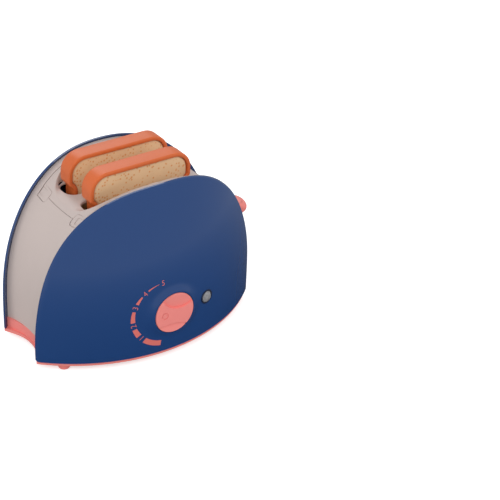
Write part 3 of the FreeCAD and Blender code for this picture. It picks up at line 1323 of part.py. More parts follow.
def cell_rows():
    return (-CELL_RADIUS - CELL_CLEARANCE / 2, CELL_RADIUS + CELL_CLEARANCE / 2)


def batteries():
    solids = []
    for facing, y in zip((1, -1), cell_rows()):
        cell = lengthwise(CELL_RADIUS, y, CELL_Z, -CELL_LENGTH / 2, CELL_LENGTH / 2)
        nub_low = CELL_LENGTH / 2 if facing > 0 else -CELL_LENGTH / 2 - CELL_NUB
        nub = lengthwise(CELL_NUB_RADIUS, y, CELL_Z, nub_low, nub_low + CELL_NUB)
        solids.append(cell.fuse(nub).removeSplitter())
    return Part.makeCompound(solids)


def battery_contacts():
    """A plate at each end of the cells, with a dimple towards each nub and a bump at each flat end."""
    solids = []
    for end in (-1, 1):
        outer = end * CELL_HALF_LENGTH
        inner = outer - end * CONTACT_THICKNESS
        plate = block(min(outer, inner), max(outer, inner), CONTACT_MARGIN - CELL_HALF_WIDTH,
                      CELL_HALF_WIDTH - CONTACT_MARGIN, CELL_Z - CELL_RADIUS + CONTACT_MARGIN,
                      CELL_Z + CELL_RADIUS)
        for facing, y in zip((1, -1), cell_rows()):
            tip = end * (CELL_LENGTH / 2 + (CELL_NUB if facing == end else 0))
            plate = plate.fuse(lengthwise(CONTACT_DIMPLE_RADIUS, y, CELL_Z, min(inner, tip), max(inner, tip)))
        solids.append(plate.removeSplitter())
    return Part.makeCompound(solids)


def battery_door():
    door = rounded_block(DOOR_LEFT, CELL_HALF_LENGTH, -CELL_HALF_WIDTH, CELL_HALF_WIDTH,
                         FOOT_HEIGHT, FOOT_HEIGHT + DOOR_THICKNESS - DOOR_SEAT_GAP, DOOR_LIP)
    x = DOOR_LEFT + DOOR_TONGUE / 2
    head = upright(SCREW_HEAD_RADIUS + CASE_FIT, x, 0, 0, FOOT_HEIGHT + DOOR_THICKNESS / 2)
    return door.cut(head).cut(upright(SCREW_RADIUS + CASE_FIT, x, 0, 0, PANEL_BOTTOM_Z))


def battery_screw():
    x = DOOR_LEFT + DOOR_TONGUE / 2
    head_low = FOOT_HEIGHT + DOOR_THICKNESS / 2 - SCREW_HEAD_HEIGHT
    return upright_screw(x, 0, head_low, SCREW_HEAD_HEIGHT + DOOR_SCREW_LENGTH)


def base_screws():
    places = screw_places() + [(x, ear_screw_y(side)) for side in (-1, 1) for x in (-EAR_X, EAR_X)]
    screws = []
    for x, y in places:
        length = EAR_SCREW_LENGTH if abs(x) < SCREW_X else SCREW_LENGTH - SCREW_END_GAP
        screws.append(upright_screw(x, y, FOOT_HEIGHT, length))
    return Part.makeCompound(screws)


def lamp_switch():
    """A leaf switch: a block with two thin leaves, which the tray presses at the bottom."""
    body = block(SWITCH_X - SWITCH_LENGTH / 2, SWITCH_X + SWITCH_LENGTH / 2, SWITCH_Y - SWITCH_WIDTH / 2,
                 SWITCH_Y + SWITCH_WIDTH / 2, PANEL_BOTTOM_Z, PANEL_BOTTOM_Z + SWITCH_HEIGHT)
    low_y, high_y = SWITCH_Y - LEAF_HALF_WIDTH, SWITCH_Y + LEAF_HALF_WIDTH
    leaf_top = TRAY_DOWN_TOP_Z - TRAY_THICKNESS - LEAF_PRESS_GAP
    pieces = [body]
    for x, top in ((SWITCH_X - LEAF_SPREAD, leaf_top), (SWITCH_X + LEAF_SPREAD, leaf_top - LEAF_STEP)):
        pieces.append(block(x, x + LEAF_THICKNESS, low_y, high_y, PANEL_BOTTOM_Z + JOIN, top))
        pieces.append(block(x, x + LEAF_BEND, low_y, high_y, top - LEAF_THICKNESS, top))
    return fused(pieces)


PIECES = {
    "front_panel": front_panel,
    "back_panel": back_panel,
    "body_shell": body_shell,
    "top_deck": top_deck,
    "base_tray": base_tray,
    "feet": feet,
    "toast_carriage": toast_carriage,
    "carriage_bushes": carriage_bushes,
    "lever_arm": lever_arm,
    "lever_paddle": lever_paddle,
    "guide_rods": guide_rods,
    "lift_springs": lift_springs,
    "timer_knob": timer_knob,
    "dial_scale": dial_scale,
    "lamp_lens": lamp_lens,
    "lamp_bezel": lamp_bezel,
    "led": led,
    "lamp_board": lamp_board,
    "timer_shaft": timer_shaft,
    "timer_gear": timer_gear,
    "release_cam": release_cam,
    "escape_wheel": escape_wheel,
    "escape_arbor": escape_arbor,
    "pallet": pallet,
    "pallet_arbor": pallet_arbor,
    "timer_front_plate": timer_front_plate,
    "timer_back_plate": timer_back_plate,
    "timer_posts": timer_posts,
    "timer_screws": timer_screws,
    "mainspring": mainspring,
    "catch_lever": catch_lever,
    "catch_pin": catch_pin,
    "catch_spring": catch_spring,
    "batteries": batteries,
    "battery_contacts": battery_contacts,
    "battery_door": battery_door,
    "battery_screw": battery_screw,
    "base_screws": base_screws,
    "lamp_switch": lamp_switch,
}

for name, make in PIECES.items():
    export(name, make())
for name, y in (("front_toast", -TOAST_PITCH / 2), ("back_toast", TOAST_PITCH / 2)):
    export(name + "_crust", toast_crust(y))
    export(name + "_bread", toast_bread(y))
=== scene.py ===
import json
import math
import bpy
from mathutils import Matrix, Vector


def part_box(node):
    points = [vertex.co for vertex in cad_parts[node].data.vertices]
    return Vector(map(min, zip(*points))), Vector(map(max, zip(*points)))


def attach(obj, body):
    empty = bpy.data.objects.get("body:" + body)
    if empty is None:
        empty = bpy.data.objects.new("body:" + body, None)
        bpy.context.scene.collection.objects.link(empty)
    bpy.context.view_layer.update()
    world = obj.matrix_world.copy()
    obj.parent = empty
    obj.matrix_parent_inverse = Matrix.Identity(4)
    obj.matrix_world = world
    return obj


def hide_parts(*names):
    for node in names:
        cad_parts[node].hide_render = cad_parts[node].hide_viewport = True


bl_info = {
    "name": "Toy toaster",
    "version": (1, 0, 0),
    "blender": (4, 5, 0),
    "location": "3D View > Sidebar > Toaster",
    "description": "Models and finishes a pretend-play pop-up toaster around its construction frame",
    "category": "Object",
}

import bmesh
import bpy
from bpy.props import FloatProperty, FloatVectorProperty, PointerProperty
from mathutils import Matrix, Vector

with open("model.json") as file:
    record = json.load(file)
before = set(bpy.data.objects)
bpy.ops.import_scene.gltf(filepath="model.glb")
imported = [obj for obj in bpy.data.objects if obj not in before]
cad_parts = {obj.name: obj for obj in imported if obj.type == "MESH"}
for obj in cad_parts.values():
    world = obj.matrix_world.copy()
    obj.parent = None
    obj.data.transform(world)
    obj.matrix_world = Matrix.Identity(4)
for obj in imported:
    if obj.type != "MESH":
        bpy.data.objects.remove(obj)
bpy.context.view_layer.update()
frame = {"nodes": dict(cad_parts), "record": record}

# Lengths below are millimetres about the middle of the case. The frame's boxes give that middle.
MM = 0.001
FRONT_LOW, FRONT_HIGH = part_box("front_panel")
BACK_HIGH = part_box("back_panel")[1]
KNOB_LOW, KNOB_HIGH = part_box("timer_knob")
PADDLE_LOW, PADDLE_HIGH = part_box("lever_paddle")

# The case is an arch |x/a|^p + (z/h)^q = 1 under panels that bulge in plan and lean back
HALF_LENGTH = (FRONT_HIGH.x - FRONT_LOW.x) / 2 / MM
BOTTOM_Z = FRONT_LOW.z / MM
PANEL_HEIGHT = (FRONT_HIGH.z - FRONT_LOW.z) / MM
ARCH_POWER_X = 2.42
ARCH_POWER_Z = 2.60
PLAN_RADIUS = 154.1
PANEL_AXIS_Y = 83.2
MIDDLE = Vector(((FRONT_LOW.x + FRONT_HIGH.x) / 2, BACK_HIGH.y - (PLAN_RADIUS - PANEL_AXIS_Y) * MM, 0))
STRAIGHT_HEIGHT = 35.6
LEAN_RADIUS = 277.3
RIM_THICKNESS = 2.6
FIT = 0.2

# Body band and deck
BODY_GAP = 4.2
TOP_GAP = 2.3
END_SAG = 6.2
TOP_SAG = 2.5
BODY_WALL = 2.6
BASE_TOP_Z = 18.0
LEVER_TRAVEL = 40.0
LEVER_SLOT_HALF_WIDTH = 4.0
LEVER_SLOT_HALF_HEIGHT = 6.0
LEVER_SLOT_CORNER = 1.5
LEVER_SLOT_ENDS = (82.0, 108.0)
DECK_HALF_LENGTH = 63.5
DECK_STRIP = 6.4
SEAM_GAP = 0.5
DISH_FLOOR_Z = 131.5
DISH_POWER = 2.8
DISH_FLOOR_HALF_LENGTH = 54.0
DISH_FLOOR_HALF_WIDTH = 30.5
DISH_SPREAD_LENGTH = 9.0
DISH_SPREAD_WIDTH = 7.5
DISH_HEIGHT = 26.0
DECK_EDGE_MOST = 52.0
DECK_CUT = (100.0, 175.0)
TAB_HALF_LENGTH = 4.0
TAB_START_Y = 20.0
TAB_CORNER = 2.5
TAB_INSET = 1.6
TAB_RECESS_START = 3.4
GROOVE_WIDTH = 0.5
GROOVE_DEPTH = 0.7

# Toast and its slots
TOAST_PITCH = 34.0
TOAST_CENTRE_X = -2.5
TOAST_WIDTH = 95.0
TOAST_HEIGHT = 84.0
TOAST_THICKNESS = 15.0
TOAST_TOP_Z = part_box("front_toast_crust")[1].z / MM
SLOT_HALF_LENGTH = 49.5
SLOT_HALF_WIDTH = 11.0
SLOT_CORNER = 9.0
SLOT_MOUTH = 1.6
TOAST_SHOULDER = 16.0
TOAST_FOOT = 8.0
TOAST_NECK = 4.5
TOAST_NECK_BEND = math.radians(50)
TOAST_LOBE_DROP = 21.0
CRUST_INNER_EDGE = 0.8

# Feet and paddle
FOOT_RADIUS = 5.0
FOOT_HEIGHT = 6.1
FOOT_EDGE = 1.6
PADDLE_RADIUS = 10.0
PADDLE_EDGE = 4.2

# Dial, scale and lamp
KNOB_Z = (KNOB_LOW.z + KNOB_HIGH.z) / 2 / MM
KNOB_FACE_Y = (KNOB_LOW.y - MIDDLE.y) / MM
KNOB_RADIUS = 18.3
KNOB_THICKNESS = 6.4
# each scoop's direction, the distance of its edge from the middle, its radius and its depth
KNOB_SCOOPS = ((75.0, 4.2, 19.3, 2.2), (262.0, 10.0, 47.0, 1.4))
KNOB_MARK_RADIUS = 3.0
KNOB_MARK_LINE = 0.6
KNOB_MARK_REACH = 9.6
KNOB_PROUD = 2.0
KNOB_EDGE = 1.0
SCOOP_LENGTH = 20.0
SHAFT_HOLE_RADIUS = 2.06
WELL_RADIUS = 18.8
WELL_DEPTH = 5.0
WELL_WALL = 2.6
COLLAR_PROUD = 1.2
COLLAR_TOP_RADIUS = 20.0
COLLAR_SLOPE = 3.8 / 7.0
SCALE_CENTRE = (-8.2, 46.4)
SCALE_RADIUS = 28.6
SCALE_STOPS = (93.0, 128.0, 157.0, 192.0, 222.0, 262.0)
SCALE_WIDTHS = (0.2, 1.2, 2.7, 3.9, 4.8, 4.8)
DIGIT_ROOM = 3.5
DIGIT_SQUEEZE = 0.92
DIGIT_THINNING = -0.012
LAMP_X = 35.0
LAMP_Z = 45.2
BEZEL_RADIUS = 6.4
BEZEL_LENGTH = 3.3
BEZEL_SETBACK = 0.95
BEZEL_EDGE = 0.3
LENS_RADIUS = 5.2
LENS_BULGE = 0.45
BARREL_LENGTH = 4.0
FLANGE_RADIUS = 7.6
FLANGE_LENGTH = 1.4
FLANGE_DEPTH = 3.3

# The camera's place and aim, fitted to the panels' outlines in the photograph
CAMERA_TURN = math.radians(31.6)
CAMERA_RISE = math.radians(31.22)
CAMERA_DISTANCE = 1171.0
CAMERA_TARGET = Vector((-1.9, 0.0, 77.4))
CAMERA_FOCAL_PIXELS = 1392.5
PHOTO_SIDE = 500.0
PHOTO_CENTRE = (125.8, 240.0)
SENSOR_WIDTH = 36.0

# How bright the room is in reflections, and how the floor's brightness there grows with metres from the toy: painted
# shade, the floor darker near the toy as if in its shadow
MIRRORED_LIGHT = 0.50
MIRRORED_LEAST = 0.04
MIRRORED_SPAN = (0.10, 0.50)
FLOOR_SIZE = 12.0
FLOOR_GLOW = 0.6


def linear(code):
    """Turns an sRGB hex colour into the linear values that a shader takes."""
    channels = [int(code[start:start + 2], 16) / 255 for start in (1, 3, 5)]
    return [c / 12.92 if c <= 0.04045 else ((c + 0.055) / 1.055) ** 2.4 for c in channels]


def colour_property(title, text, code):
    return FloatVectorProperty(name=title, description=text, subtype="COLOR", size=3, min=0, max=1,
                               default=linear(code))


def length_property(title, text, millimetres):
    return FloatProperty(name=title, description=text, subtype="DISTANCE", unit="LENGTH", min=0,
                         default=millimetres * MM)


class ToasterSizes(bpy.types.PropertyGroup):
    """Sizes of the mouldings that can be changed without the frame"""
    panel_edge: length_property("Panel edge", "Radius of the panels' outer edge", 1.2)
    dish_lip: length_property("Dish lip", "Softness of the deck dish's lip", 5.5)
    collar_foot: length_property("Collar foot", "Softness of the foot of the collar round the knob", 1.4)
    crust_wall: length_property("Crust wall", "Width of the crust's face", 3.4)
    crust_edge: length_property("Crust edge", "Radius of the crust's edges", 1.3)
    crust_proud: length_property("Crust proud", "How far the crust stands before the bread", 1.2)
    digit_height: length_property("Digit height", "Height of the dial's numbers", 4.6)
    ink: length_property("Ink", "Thickness of the printed scale", 0.1)


class ToasterColours(bpy.types.PropertyGroup):
    """Colours of the mouldings"""
    navy: colour_property("Navy", "Glossy panels", "#1f4176")
    greige: colour_property("Greige", "Body band and deck", "#c8bab5")
    coral: colour_property("Coral", "Base, feet, lever and knob", "#f48c85")
    print_ink: colour_property("Ink", "Scale and numbers", "#dd7068")
    crust: colour_property("Crust", "Toast crust", "#d66834")
    bread: colour_property("Bread", "Toast face", "#e6c096")
    toasted: colour_property("Toasted", "Specks and browned border of the bread", "#d98a4c")


# Places

def place(x, y, z):
    """A point given in millimetres about the case's middle, in the frame's metres."""
    return Vector((MIDDLE.x + x * MM, MIDDLE.y + y * MM, z * MM))


def spot(point):
    """The reverse of place."""
    return (point.x - MIDDLE.x) / MM, (point.y - MIDDLE.y) / MM, point.z / MM


def arch(turn, inset=0.0):
    """A point of the case's arch, drawn in by inset; turn runs from 0 at its left foot to pi at its right."""
    across = math.cos(turn)
    along = abs(across) ** (2 / ARCH_POWER_X)
    up = max(0.0, math.sin(turn)) ** (2 / ARCH_POWER_Z)
    return -math.copysign(along, across) * (HALF_LENGTH - inset), BOTTOM_Z + up * (PANEL_HEIGHT - inset)


def panel_y(x, z, depth):
    """How far a panel's face, less depth, stands from the middle plane."""
    over = max(0.0, z - BOTTOM_Z - STRAIGHT_HEIGHT)
    radius = PLAN_RADIUS - LEAN_RADIUS + math.sqrt((LEAN_RADIUS - depth) ** 2 - over ** 2)
    return math.sqrt(radius ** 2 - x ** 2) - PANEL_AXIS_Y


def smooth_larger(first, second, softness):
    """The larger of two values, with an eased change from one to the other."""
    near = max(softness - abs(first - second), 0) / softness
    return max(first, second) + near * near * softness / 4


def smooth_smaller(first, second, softness):
    return -smooth_larger(-first, -second, softness)


def band_inset(z, share):
    """How far the body band lies inside the panels' arch: most in the middle, least at the panels."""
    rise = (z - BOTTOM_Z) / PANEL_HEIGHT
    gap = BODY_GAP + (TOP_GAP - BODY_GAP) * rise ** 2
    return gap + (END_SAG + (TOP_SAG - END_SAG) * rise ** 2) * (1 - share ** 2)


def band_point(turn, share):
    """A point of the body band; share runs from -1 at the front panel to 1 at the back one."""
    drawn = band_inset(arch(turn)[1], share)
    x, z = arch(turn, drawn)
    return x, share * panel_y(x, z, RIM_THICKNESS + FIT), z


def band_z(x, y):
    """Height of the body band over a point of the plan."""
    z = BOTTOM_Z + PANEL_HEIGHT
    for _ in range(4):
        drawn = band_inset(z, y / panel_y(x, z, RIM_THICKNESS + FIT))
        over = max(0.0, 1 - (abs(x) / (HALF_LENGTH - drawn)) ** ARCH_POWER_X)
        z = BOTTOM_Z + (PANEL_HEIGHT - drawn) * over ** (1 / ARCH_POWER_Z)
    return z


def dish_z(x, y):
    """Height of the deck's dish over a point of the plan: flat inside its floor, rising outside it."""
    low, high = 0.0, 1.6
    for _ in range(22):
        middle = (low + high) / 2
        length = DISH_FLOOR_HALF_LENGTH + DISH_SPREAD_LENGTH * middle
        width = DISH_FLOOR_HALF_WIDTH + DISH_SPREAD_WIDTH * middle
        outside = (abs(x) / length) ** DISH_POWER + (abs(y) / width) ** DISH_POWER > 1
        low, high = (middle, high) if outside else (low, middle)
    spread = min(low, 0.999)
    share = 1 - math.sqrt(1 - spread ** 2)
    return DISH_FLOOR_Z + DISH_HEIGHT * share ** 2 + max(0.0, low - spread) * DISH_HEIGHT * 4


# Modelling helpers

def only(piece):
    """Makes one object the only selected and active one."""
    bpy.ops.object.select_all(action="DESELECT")
    piece.select_set(True)
    bpy.context.view_layer.objects.active = piece


def named(name):
    piece = bpy.context.active_object
    piece.name = name
    piece.data.name = name
    return piece


def laid_grid(name, columns, rows, point_of):
    """A grid whose points, from -1 to 1 each way, are laid where point_of says."""
    bpy.ops.mesh.primitive_grid_add(x_subdivisions=columns, y_subdivisions=rows, size=2)
    piece = named(name)
    for vertex in piece.data.vertices:
        vertex.co = place(*point_of(vertex.co.x, vertex.co.y))
    return piece


def lofted(name, rings):
    """A circle laid on the first ring of points and extruded to each further one, closed at both ends."""
    bpy.ops.mesh.primitive_circle_add(vertices=len(rings[0]), radius=1, fill_type="NOTHING")
    piece = named(name)
    numbers = piece.data.attributes.new("spot", "INT", "POINT")
    for index, vertex in enumerate(piece.data.vertices):
        numbers.data[index].value = index
        vertex.co = place(*rings[0][index])
    edit_all(piece)
    bpy.ops.mesh.edge_face_add()
    for ring in rings[1:]:
        bpy.ops.mesh.extrude_region_move()
        mesh = bmesh.from_edit_mesh(piece.data)
        layer = mesh.verts.layers.int["spot"]
        for vertex in mesh.verts:
            if vertex.select:
                vertex.co = place(*ring[vertex[layer]])
        bmesh.update_edit_mesh(piece.data)
    done_facing_out()
    piece.data.attributes.remove(piece.data.attributes["spot"])
    return piece


def pick(piece, kind, test):
    """In edit mode, selects the vertices, edges or faces that pass a test."""
    only(piece)
    bpy.ops.object.mode_set(mode="EDIT")
    bpy.ops.mesh.select_mode(type=kind)
    bpy.ops.mesh.select_all(action="DESELECT")
    mesh = bmesh.from_edit_mesh(piece.data)
    for part in {"VERT": mesh.verts, "EDGE": mesh.edges, "FACE": mesh.faces}[kind]:
        if test(part):
            part.select_set(True)
    mesh.select_flush_mode()
    bmesh.update_edit_mesh(piece.data)


def edit_all(piece):
    """Opens one piece in edit mode with everything selected."""
    only(piece)
    bpy.ops.object.mode_set(mode="EDIT")
    bpy.ops.mesh.select_all(action="SELECT")


def done():
    bpy.ops.object.mode_set(mode="OBJECT")


def done_facing_out():
    """Turns all faces outwards and leaves edit mode."""
    bpy.ops.mesh.select_all(action="SELECT")
    bpy.ops.mesh.normals_make_consistent(inside=False)
    done()


def modify(piece, kind, **settings):
    """Adds a modifier with its settings and applies it."""
    only(piece)
    modifier = piece.modifiers.new(kind.title(), kind)
    for key, value in settings.items():
        setattr(modifier, key, value)
    bpy.ops.object.modifier_apply(modifier=modifier.name)


def combine(piece, tool, operation):
    """Cuts, joins or crosses a piece with a tool shape, which is then used up."""
    modify(piece, "BOOLEAN", operation=operation, object=tool, solver="EXACT")
    bpy.data.objects.remove(tool)


def apply_place(piece):
    only(piece)
    bpy.ops.object.transform_apply(location=True, rotation=True, scale=True)


def smooth(piece, degrees=35):
    only(piece)
    bpy.ops.object.shade_smooth_by_angle(angle=math.radians(degrees))


def joined(pieces, name):
    bpy.ops.object.select_all(action="DESELECT")
    for piece in pieces:
        piece.select_set(True)
    bpy.context.view_layer.objects.active = pieces[0]
    bpy.ops.object.join()
    return named(name)


def round_bar(name, radius, centre, length, axis, count=96):
    """A round bar of millimetre sizes, centred on a point and turned to an axis."""
    turn = Vector(axis).to_track_quat("Z", "Y").to_euler()
    bpy.ops.mesh.primitive_cylinder_add(vertices=count, radius=radius * MM, depth=length * MM,
                                        location=place(*centre), rotation=turn)
    piece = named(name)
    apply_place(piece)
    return piece


def hand_over(piece, body, slot, *nodes):
    """Gives a piece its slot's finish, lets it ride on its body and hides the nodes that it stands for."""
    piece.data.materials.clear()
    piece.data.materials.append(FINISHES[slot])
    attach(piece, body)
    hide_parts(*nodes)


# Finishes

def node(tree, kind, inputs=None, **settings):
    """Adds a shader node, sets it and fills its sockets with values or with other nodes' outputs."""
    made = tree.nodes.new(kind)
    for key, value in settings.items():
        setattr(made, key, value)
    for key, value in (inputs or {}).items():
        if isinstance(value, bpy.types.NodeSocket):
            tree.links.new(value, made.inputs[key])
        else:
            made.inputs[key].default_value = value
    return made


def rgba(colour):
    return (*colour, 1.0)


def shade(colour, factor):
    return (*[min(1.0, c * factor) for c in colour], 1.0)


def new_material(name, **sockets):
    """A material with one principled shader, whose fixed sockets are set here."""
    material = bpy.data.materials.new(name)
    material.use_nodes = True
    tree = material.node_tree
    shader = tree.nodes["Principled BSDF"]
    for key, value in sockets.items():
        shader.inputs[key.replace("_", " ")].default_value = value
    return material, tree, shader


def object_points(tree, scale=(1, 1, 1)):
    """Object coordinates in metres, stretched by a scale."""
    source = node(tree, "ShaderNodeTexCoord").outputs["Object"]
    return node(tree, "ShaderNodeMapping", {"Vector": source, "Scale": scale}).outputs["Vector"]


def moulded_plastic(name, colour, roughness, ior, grain_mm, grain_height, mottle=0.04):
    """Moulded plastic: one even colour, a fine grain from the tool's surface and slight unevenness in gloss."""
    material, tree, shader = new_material(name, IOR=ior)
    points = object_points(tree)
    cloud = node(tree, "ShaderNodeTexNoise", {"Vector": points, "Scale": 18.0, "Detail": 2.0})
    tone = node(tree, "ShaderNodeMix", {"Factor": cloud.outputs["Fac"], "A": shade(colour, 1 - mottle),
                                       "B": shade(colour, 1 + mottle)}, data_type="RGBA")
    gloss = node(tree, "ShaderNodeMapRange", {"Value": cloud.outputs["Fac"], "To Min": roughness * 0.9,
                                             "To Max": roughness * 1.1})
    grain = node(tree, "ShaderNodeTexNoise", {"Vector": points, "Scale": 1 / (grain_mm * MM), "Detail": 2.0})
    bump = node(tree, "ShaderNodeBump", {"Height": grain.outputs["Fac"], "Strength": 1.0,
                                        "Distance": grain_height * MM})
    tree.links.new(tone.outputs["Result"], shader.inputs["Base Color"])
    tree.links.new(gloss.outputs["Result"], shader.inputs["Roughness"])
    tree.links.new(bump.outputs["Normal"], shader.inputs["Normal"])
    return material


def drawn_metal(name, colour, roughness, line_mm, across):
    """Bare metal with fine drawing or turning lines across one axis."""
    material, tree, shader = new_material(name, Metallic=1.0)
    scale = [1 / (line_mm * MM) if axis == across else 30.0 for axis in "xyz"]
    lines = node(tree, "ShaderNodeTexNoise", {"Vector": object_points(tree, scale), "Scale": 1.0, "Detail": 3.0})
    tone = node(tree, "ShaderNodeMix", {"Factor": lines.outputs["Fac"], "A": shade(colour, 0.85),
                                       "B": shade(colour, 1.1)}, data_type="RGBA")
    gloss = node(tree, "ShaderNodeMapRange", {"Value": lines.outputs["Fac"], "To Min": roughness * 0.8,
                                             "To Max": roughness * 1.25})
    bump = node(tree, "ShaderNodeBump", {"Height": lines.outputs["Fac"], "Strength": 0.4, "Distance": 0.02 * MM})
    tree.links.new(tone.outputs["Result"], shader.inputs["Base Color"])
    tree.links.new(gloss.outputs["Result"], shader.inputs["Roughness"])
    tree.links.new(bump.outputs["Normal"], shader.inputs["Normal"])
    return material


def toasted_bread(name, colours):
    """Moulded and sprayed bread face: fine crumb relief, tan to sandy drift and orange-brown specks of 1 to 2 mm."""
    material, tree, shader = new_material(name, Roughness=0.55, IOR=1.46)
    points = object_points(tree)
    drift = node(tree, "ShaderNodeTexNoise", {"Vector": points, "Scale": 45.0, "Detail": 3.0})
    ground = node(tree, "ShaderNodeMix", {"Factor": drift.outputs["Fac"], "A": shade(colours.bread, 0.88),
                                         "B": shade(colours.bread, 1.12)}, data_type="RGBA")
    specks = node(tree, "ShaderNodeTexVoronoi", {"Vector": points, "Scale": 400.0, "Randomness": 1.0})
    dots = node(tree, "ShaderNodeMapRange", {"Value": specks.outputs["Distance"], "From Min": 0.20,
                                            "From Max": 0.42, "To Min": 1.0, "To Max": 0.0})
    chance = node(tree, "ShaderNodeSeparateColor", {"Color": specks.outputs["Color"]})
    chosen = node(tree, "ShaderNodeMath", {0: chance.outputs["Red"], 1: 0.40}, operation="GREATER_THAN")
    amount = node(tree, "ShaderNodeMath", {0: dots.outputs["Result"], 1: chosen.outputs["Value"]},
                  operation="MULTIPLY")
    soft = node(tree, "ShaderNodeMath", {0: amount.outputs["Value"], 1: 0.85}, operation="MULTIPLY")
    face = node(tree, "ShaderNodeMix", {"Factor": soft.outputs["Value"], "A": ground.outputs["Result"],
                                       "B": rgba(colours.toasted)}, data_type="RGBA")
    crumb = node(tree, "ShaderNodeTexNoise", {"Vector": points, "Scale": 900.0, "Detail": 3.0})
    bump = node(tree, "ShaderNodeBump", {"Height": crumb.outputs["Fac"], "Strength": 0.5, "Distance": 0.15 * MM})
    tree.links.new(face.outputs["Result"], shader.inputs["Base Color"])
    tree.links.new(bump.outputs["Normal"], shader.inputs["Normal"])
    return material


def clear_styrene(name):
    """Clear moulded polystyrene: sharp sparkles on its facets over a grey-white well, with painted glint: its colour
    swings at random between dark grey and near white, like the facets' reflections.
    """
    material, tree, shader = new_material(name, IOR=1.59, Transmission_Weight=0.55)
    cloud = node(tree, "ShaderNodeTexNoise", {"Vector": object_points(tree), "Scale": 400.0, "Detail": 2.0})
    # painted glint: patches from dark grey to near white stand in for the facets' bright and dark reflections
    tone = node(tree, "ShaderNodeMix", {"Factor": cloud.outputs["Fac"], "A": (0.28, 0.28, 0.30, 1.0),
                                       "B": (0.85, 0.85, 0.88, 1.0)}, data_type="RGBA")
    gloss = node(tree, "ShaderNodeMapRange", {"Value": cloud.outputs["Fac"], "To Min": 0.03, "To Max": 0.12})
    tree.links.new(tone.outputs["Result"], shader.inputs["Base Color"])
    tree.links.new(gloss.outputs["Result"], shader.inputs["Roughness"])
    return material


def build_finishes(colours):
    """Every finish of the toy, by the name of the record's material slot that it belongs to."""
    finishes = {
        "blue_shell": moulded_plastic("navy_abs_polished", colours.navy, 0.07, 1.54, 5.0, 0.004, 0.02),
        "greige_shell": moulded_plastic("greige_abs_satin", colours.greige, 0.42, 1.5, 0.5, 0.02),
        "coral_shell": moulded_plastic("coral_abs_satin", colours.coral, 0.40, 1.5, 0.5, 0.02),
        "coral_feet": moulded_plastic("coral_soft_pvc", colours.coral, 0.65, 1.5, 0.6, 0.03),
        "coral_lever": moulded_plastic("coral_abs_lever", colours.coral, 0.35, 1.5, 0.5, 0.015),
        "coral_knob": moulded_plastic("coral_abs_knob", colours.coral, 0.38, 1.5, 0.5, 0.015),
        "scale_print": moulded_plastic("coral_pad_print_ink", colours.print_ink, 0.45, 1.5, 0.4, 0.01, 0.06),
        "crust": moulded_plastic("crust_abs_sprayed", colours.crust, 0.38, 1.5, 0.7, 0.03, 0.07),
        "bread": toasted_bread("bread_abs_speckled", colours),
        "clear_lens": clear_styrene("clear_polystyrene"),
        "dark_bezel": moulded_plastic("bezel_abs_dark", linear("#1c2740"), 0.15, 1.52, 1.0, 0.005),
        "led_body": moulded_plastic("led_epoxy_red", linear("#d9433c"), 0.1, 1.55, 1.0, 0.003),
        "circuit_board": moulded_plastic("board_solder_mask", linear("#1e6142"), 0.3, 1.5, 0.8, 0.01, 0.1),
        "inner_plastic": moulded_plastic("inner_polypropylene", linear("#414145"), 0.45, 1.49, 0.6, 0.02),
        "gear_plastic": moulded_plastic("gear_acetal", linear("#e6e1d2"), 0.35, 1.48, 0.4, 0.01),
        "cell_wrap": moulded_plastic("cell_shrink_sleeve", linear("#34343a"), 0.25, 1.5, 0.6, 0.005),
        "brass": drawn_metal("turned_brass", linear("#c49f52"), 0.25, 0.3, "z"),
        "steel": drawn_metal("bright_steel", linear("#a2a2a4"), 0.28, 0.3, "z"),
        "spring_steel": drawn_metal("drawn_spring_wire", linear("#86868a"), 0.3, 0.2, "z"),
    }
    return finishes


FINISHES = {}


# Panels

def panel_spot(a, b, inset):
    """Lays a square's point, a from -1 to 1 and b from 0 to 1, on a disc and draws that disc out to the arch."""
    u = a * math.sqrt(1 - b * b / 2)
    v = b * math.sqrt(1 - a * a / 2)
    reach = math.hypot(u, v)
    if reach < 1e-9:
        return 0.0, BOTTOM_Z
    across, up = abs(u) / reach, v / reach
    scale = 1.0
    for _ in range(12):
        sum_x = (scale * across) ** ARCH_POWER_X
        sum_z = (scale * up) ** ARCH_POWER_Z
        slope = (ARCH_POWER_X * sum_x + ARCH_POWER_Z * sum_z) / scale
        scale -= (sum_x + sum_z - 1) / slope
    return u * scale * (HALF_LENGTH - inset), BOTTOM_Z + v * scale * (PANEL_HEIGHT - inset)


def collar_y(radius):
    """How far the collar round the knob stands before the middle plane: flat on top, then sloping back."""
    return KNOB_FACE_Y + KNOB_PROUD - COLLAR_PROUD + COLLAR_SLOPE * max(0.0, radius - COLLAR_TOP_RADIUS)


def face_point(side, x, z, depth, lip):
    """A point of a panel's outer or inner face; the front one has the knob's collar and a boss behind it."""
    y = -panel_y(x, z, depth)
    if side < 0:
        radius = math.hypot(x, z - KNOB_Z)
        if depth < RIM_THICKNESS:
            y = smooth_smaller(y, collar_y(radius), lip)
        else:
            boss_y = KNOB_FACE_Y + KNOB_PROUD + WELL_DEPTH + WELL_WALL
            y = smooth_larger(y, boss_y - 3 * max(0.0, radius - WELL_RADIUS - WELL_WALL), 1.0)
    return x, -side * y, z


def rim_step(piece, side, before, after, depth):
    """Extrudes the chosen rim and lays it on the arch drawn in by after, depth behind the face."""
    bpy.ops.mesh.extrude_region_move()
    mesh = bmesh.from_edit_mesh(piece.data)
    for vertex in mesh.verts:
        if vertex.select:
            x, _, z = spot(vertex.co)
            x = x / (HALF_LENGTH - before) * (HALF_LENGTH - after)
            z = BOTTOM_Z + (z - BOTTOM_Z) / (PANEL_HEIGHT - before) * (PANEL_HEIGHT - after)
            vertex.co = place(x, side * panel_y(x, z, depth), z)
    bmesh.update_edit_mesh(piece.data)


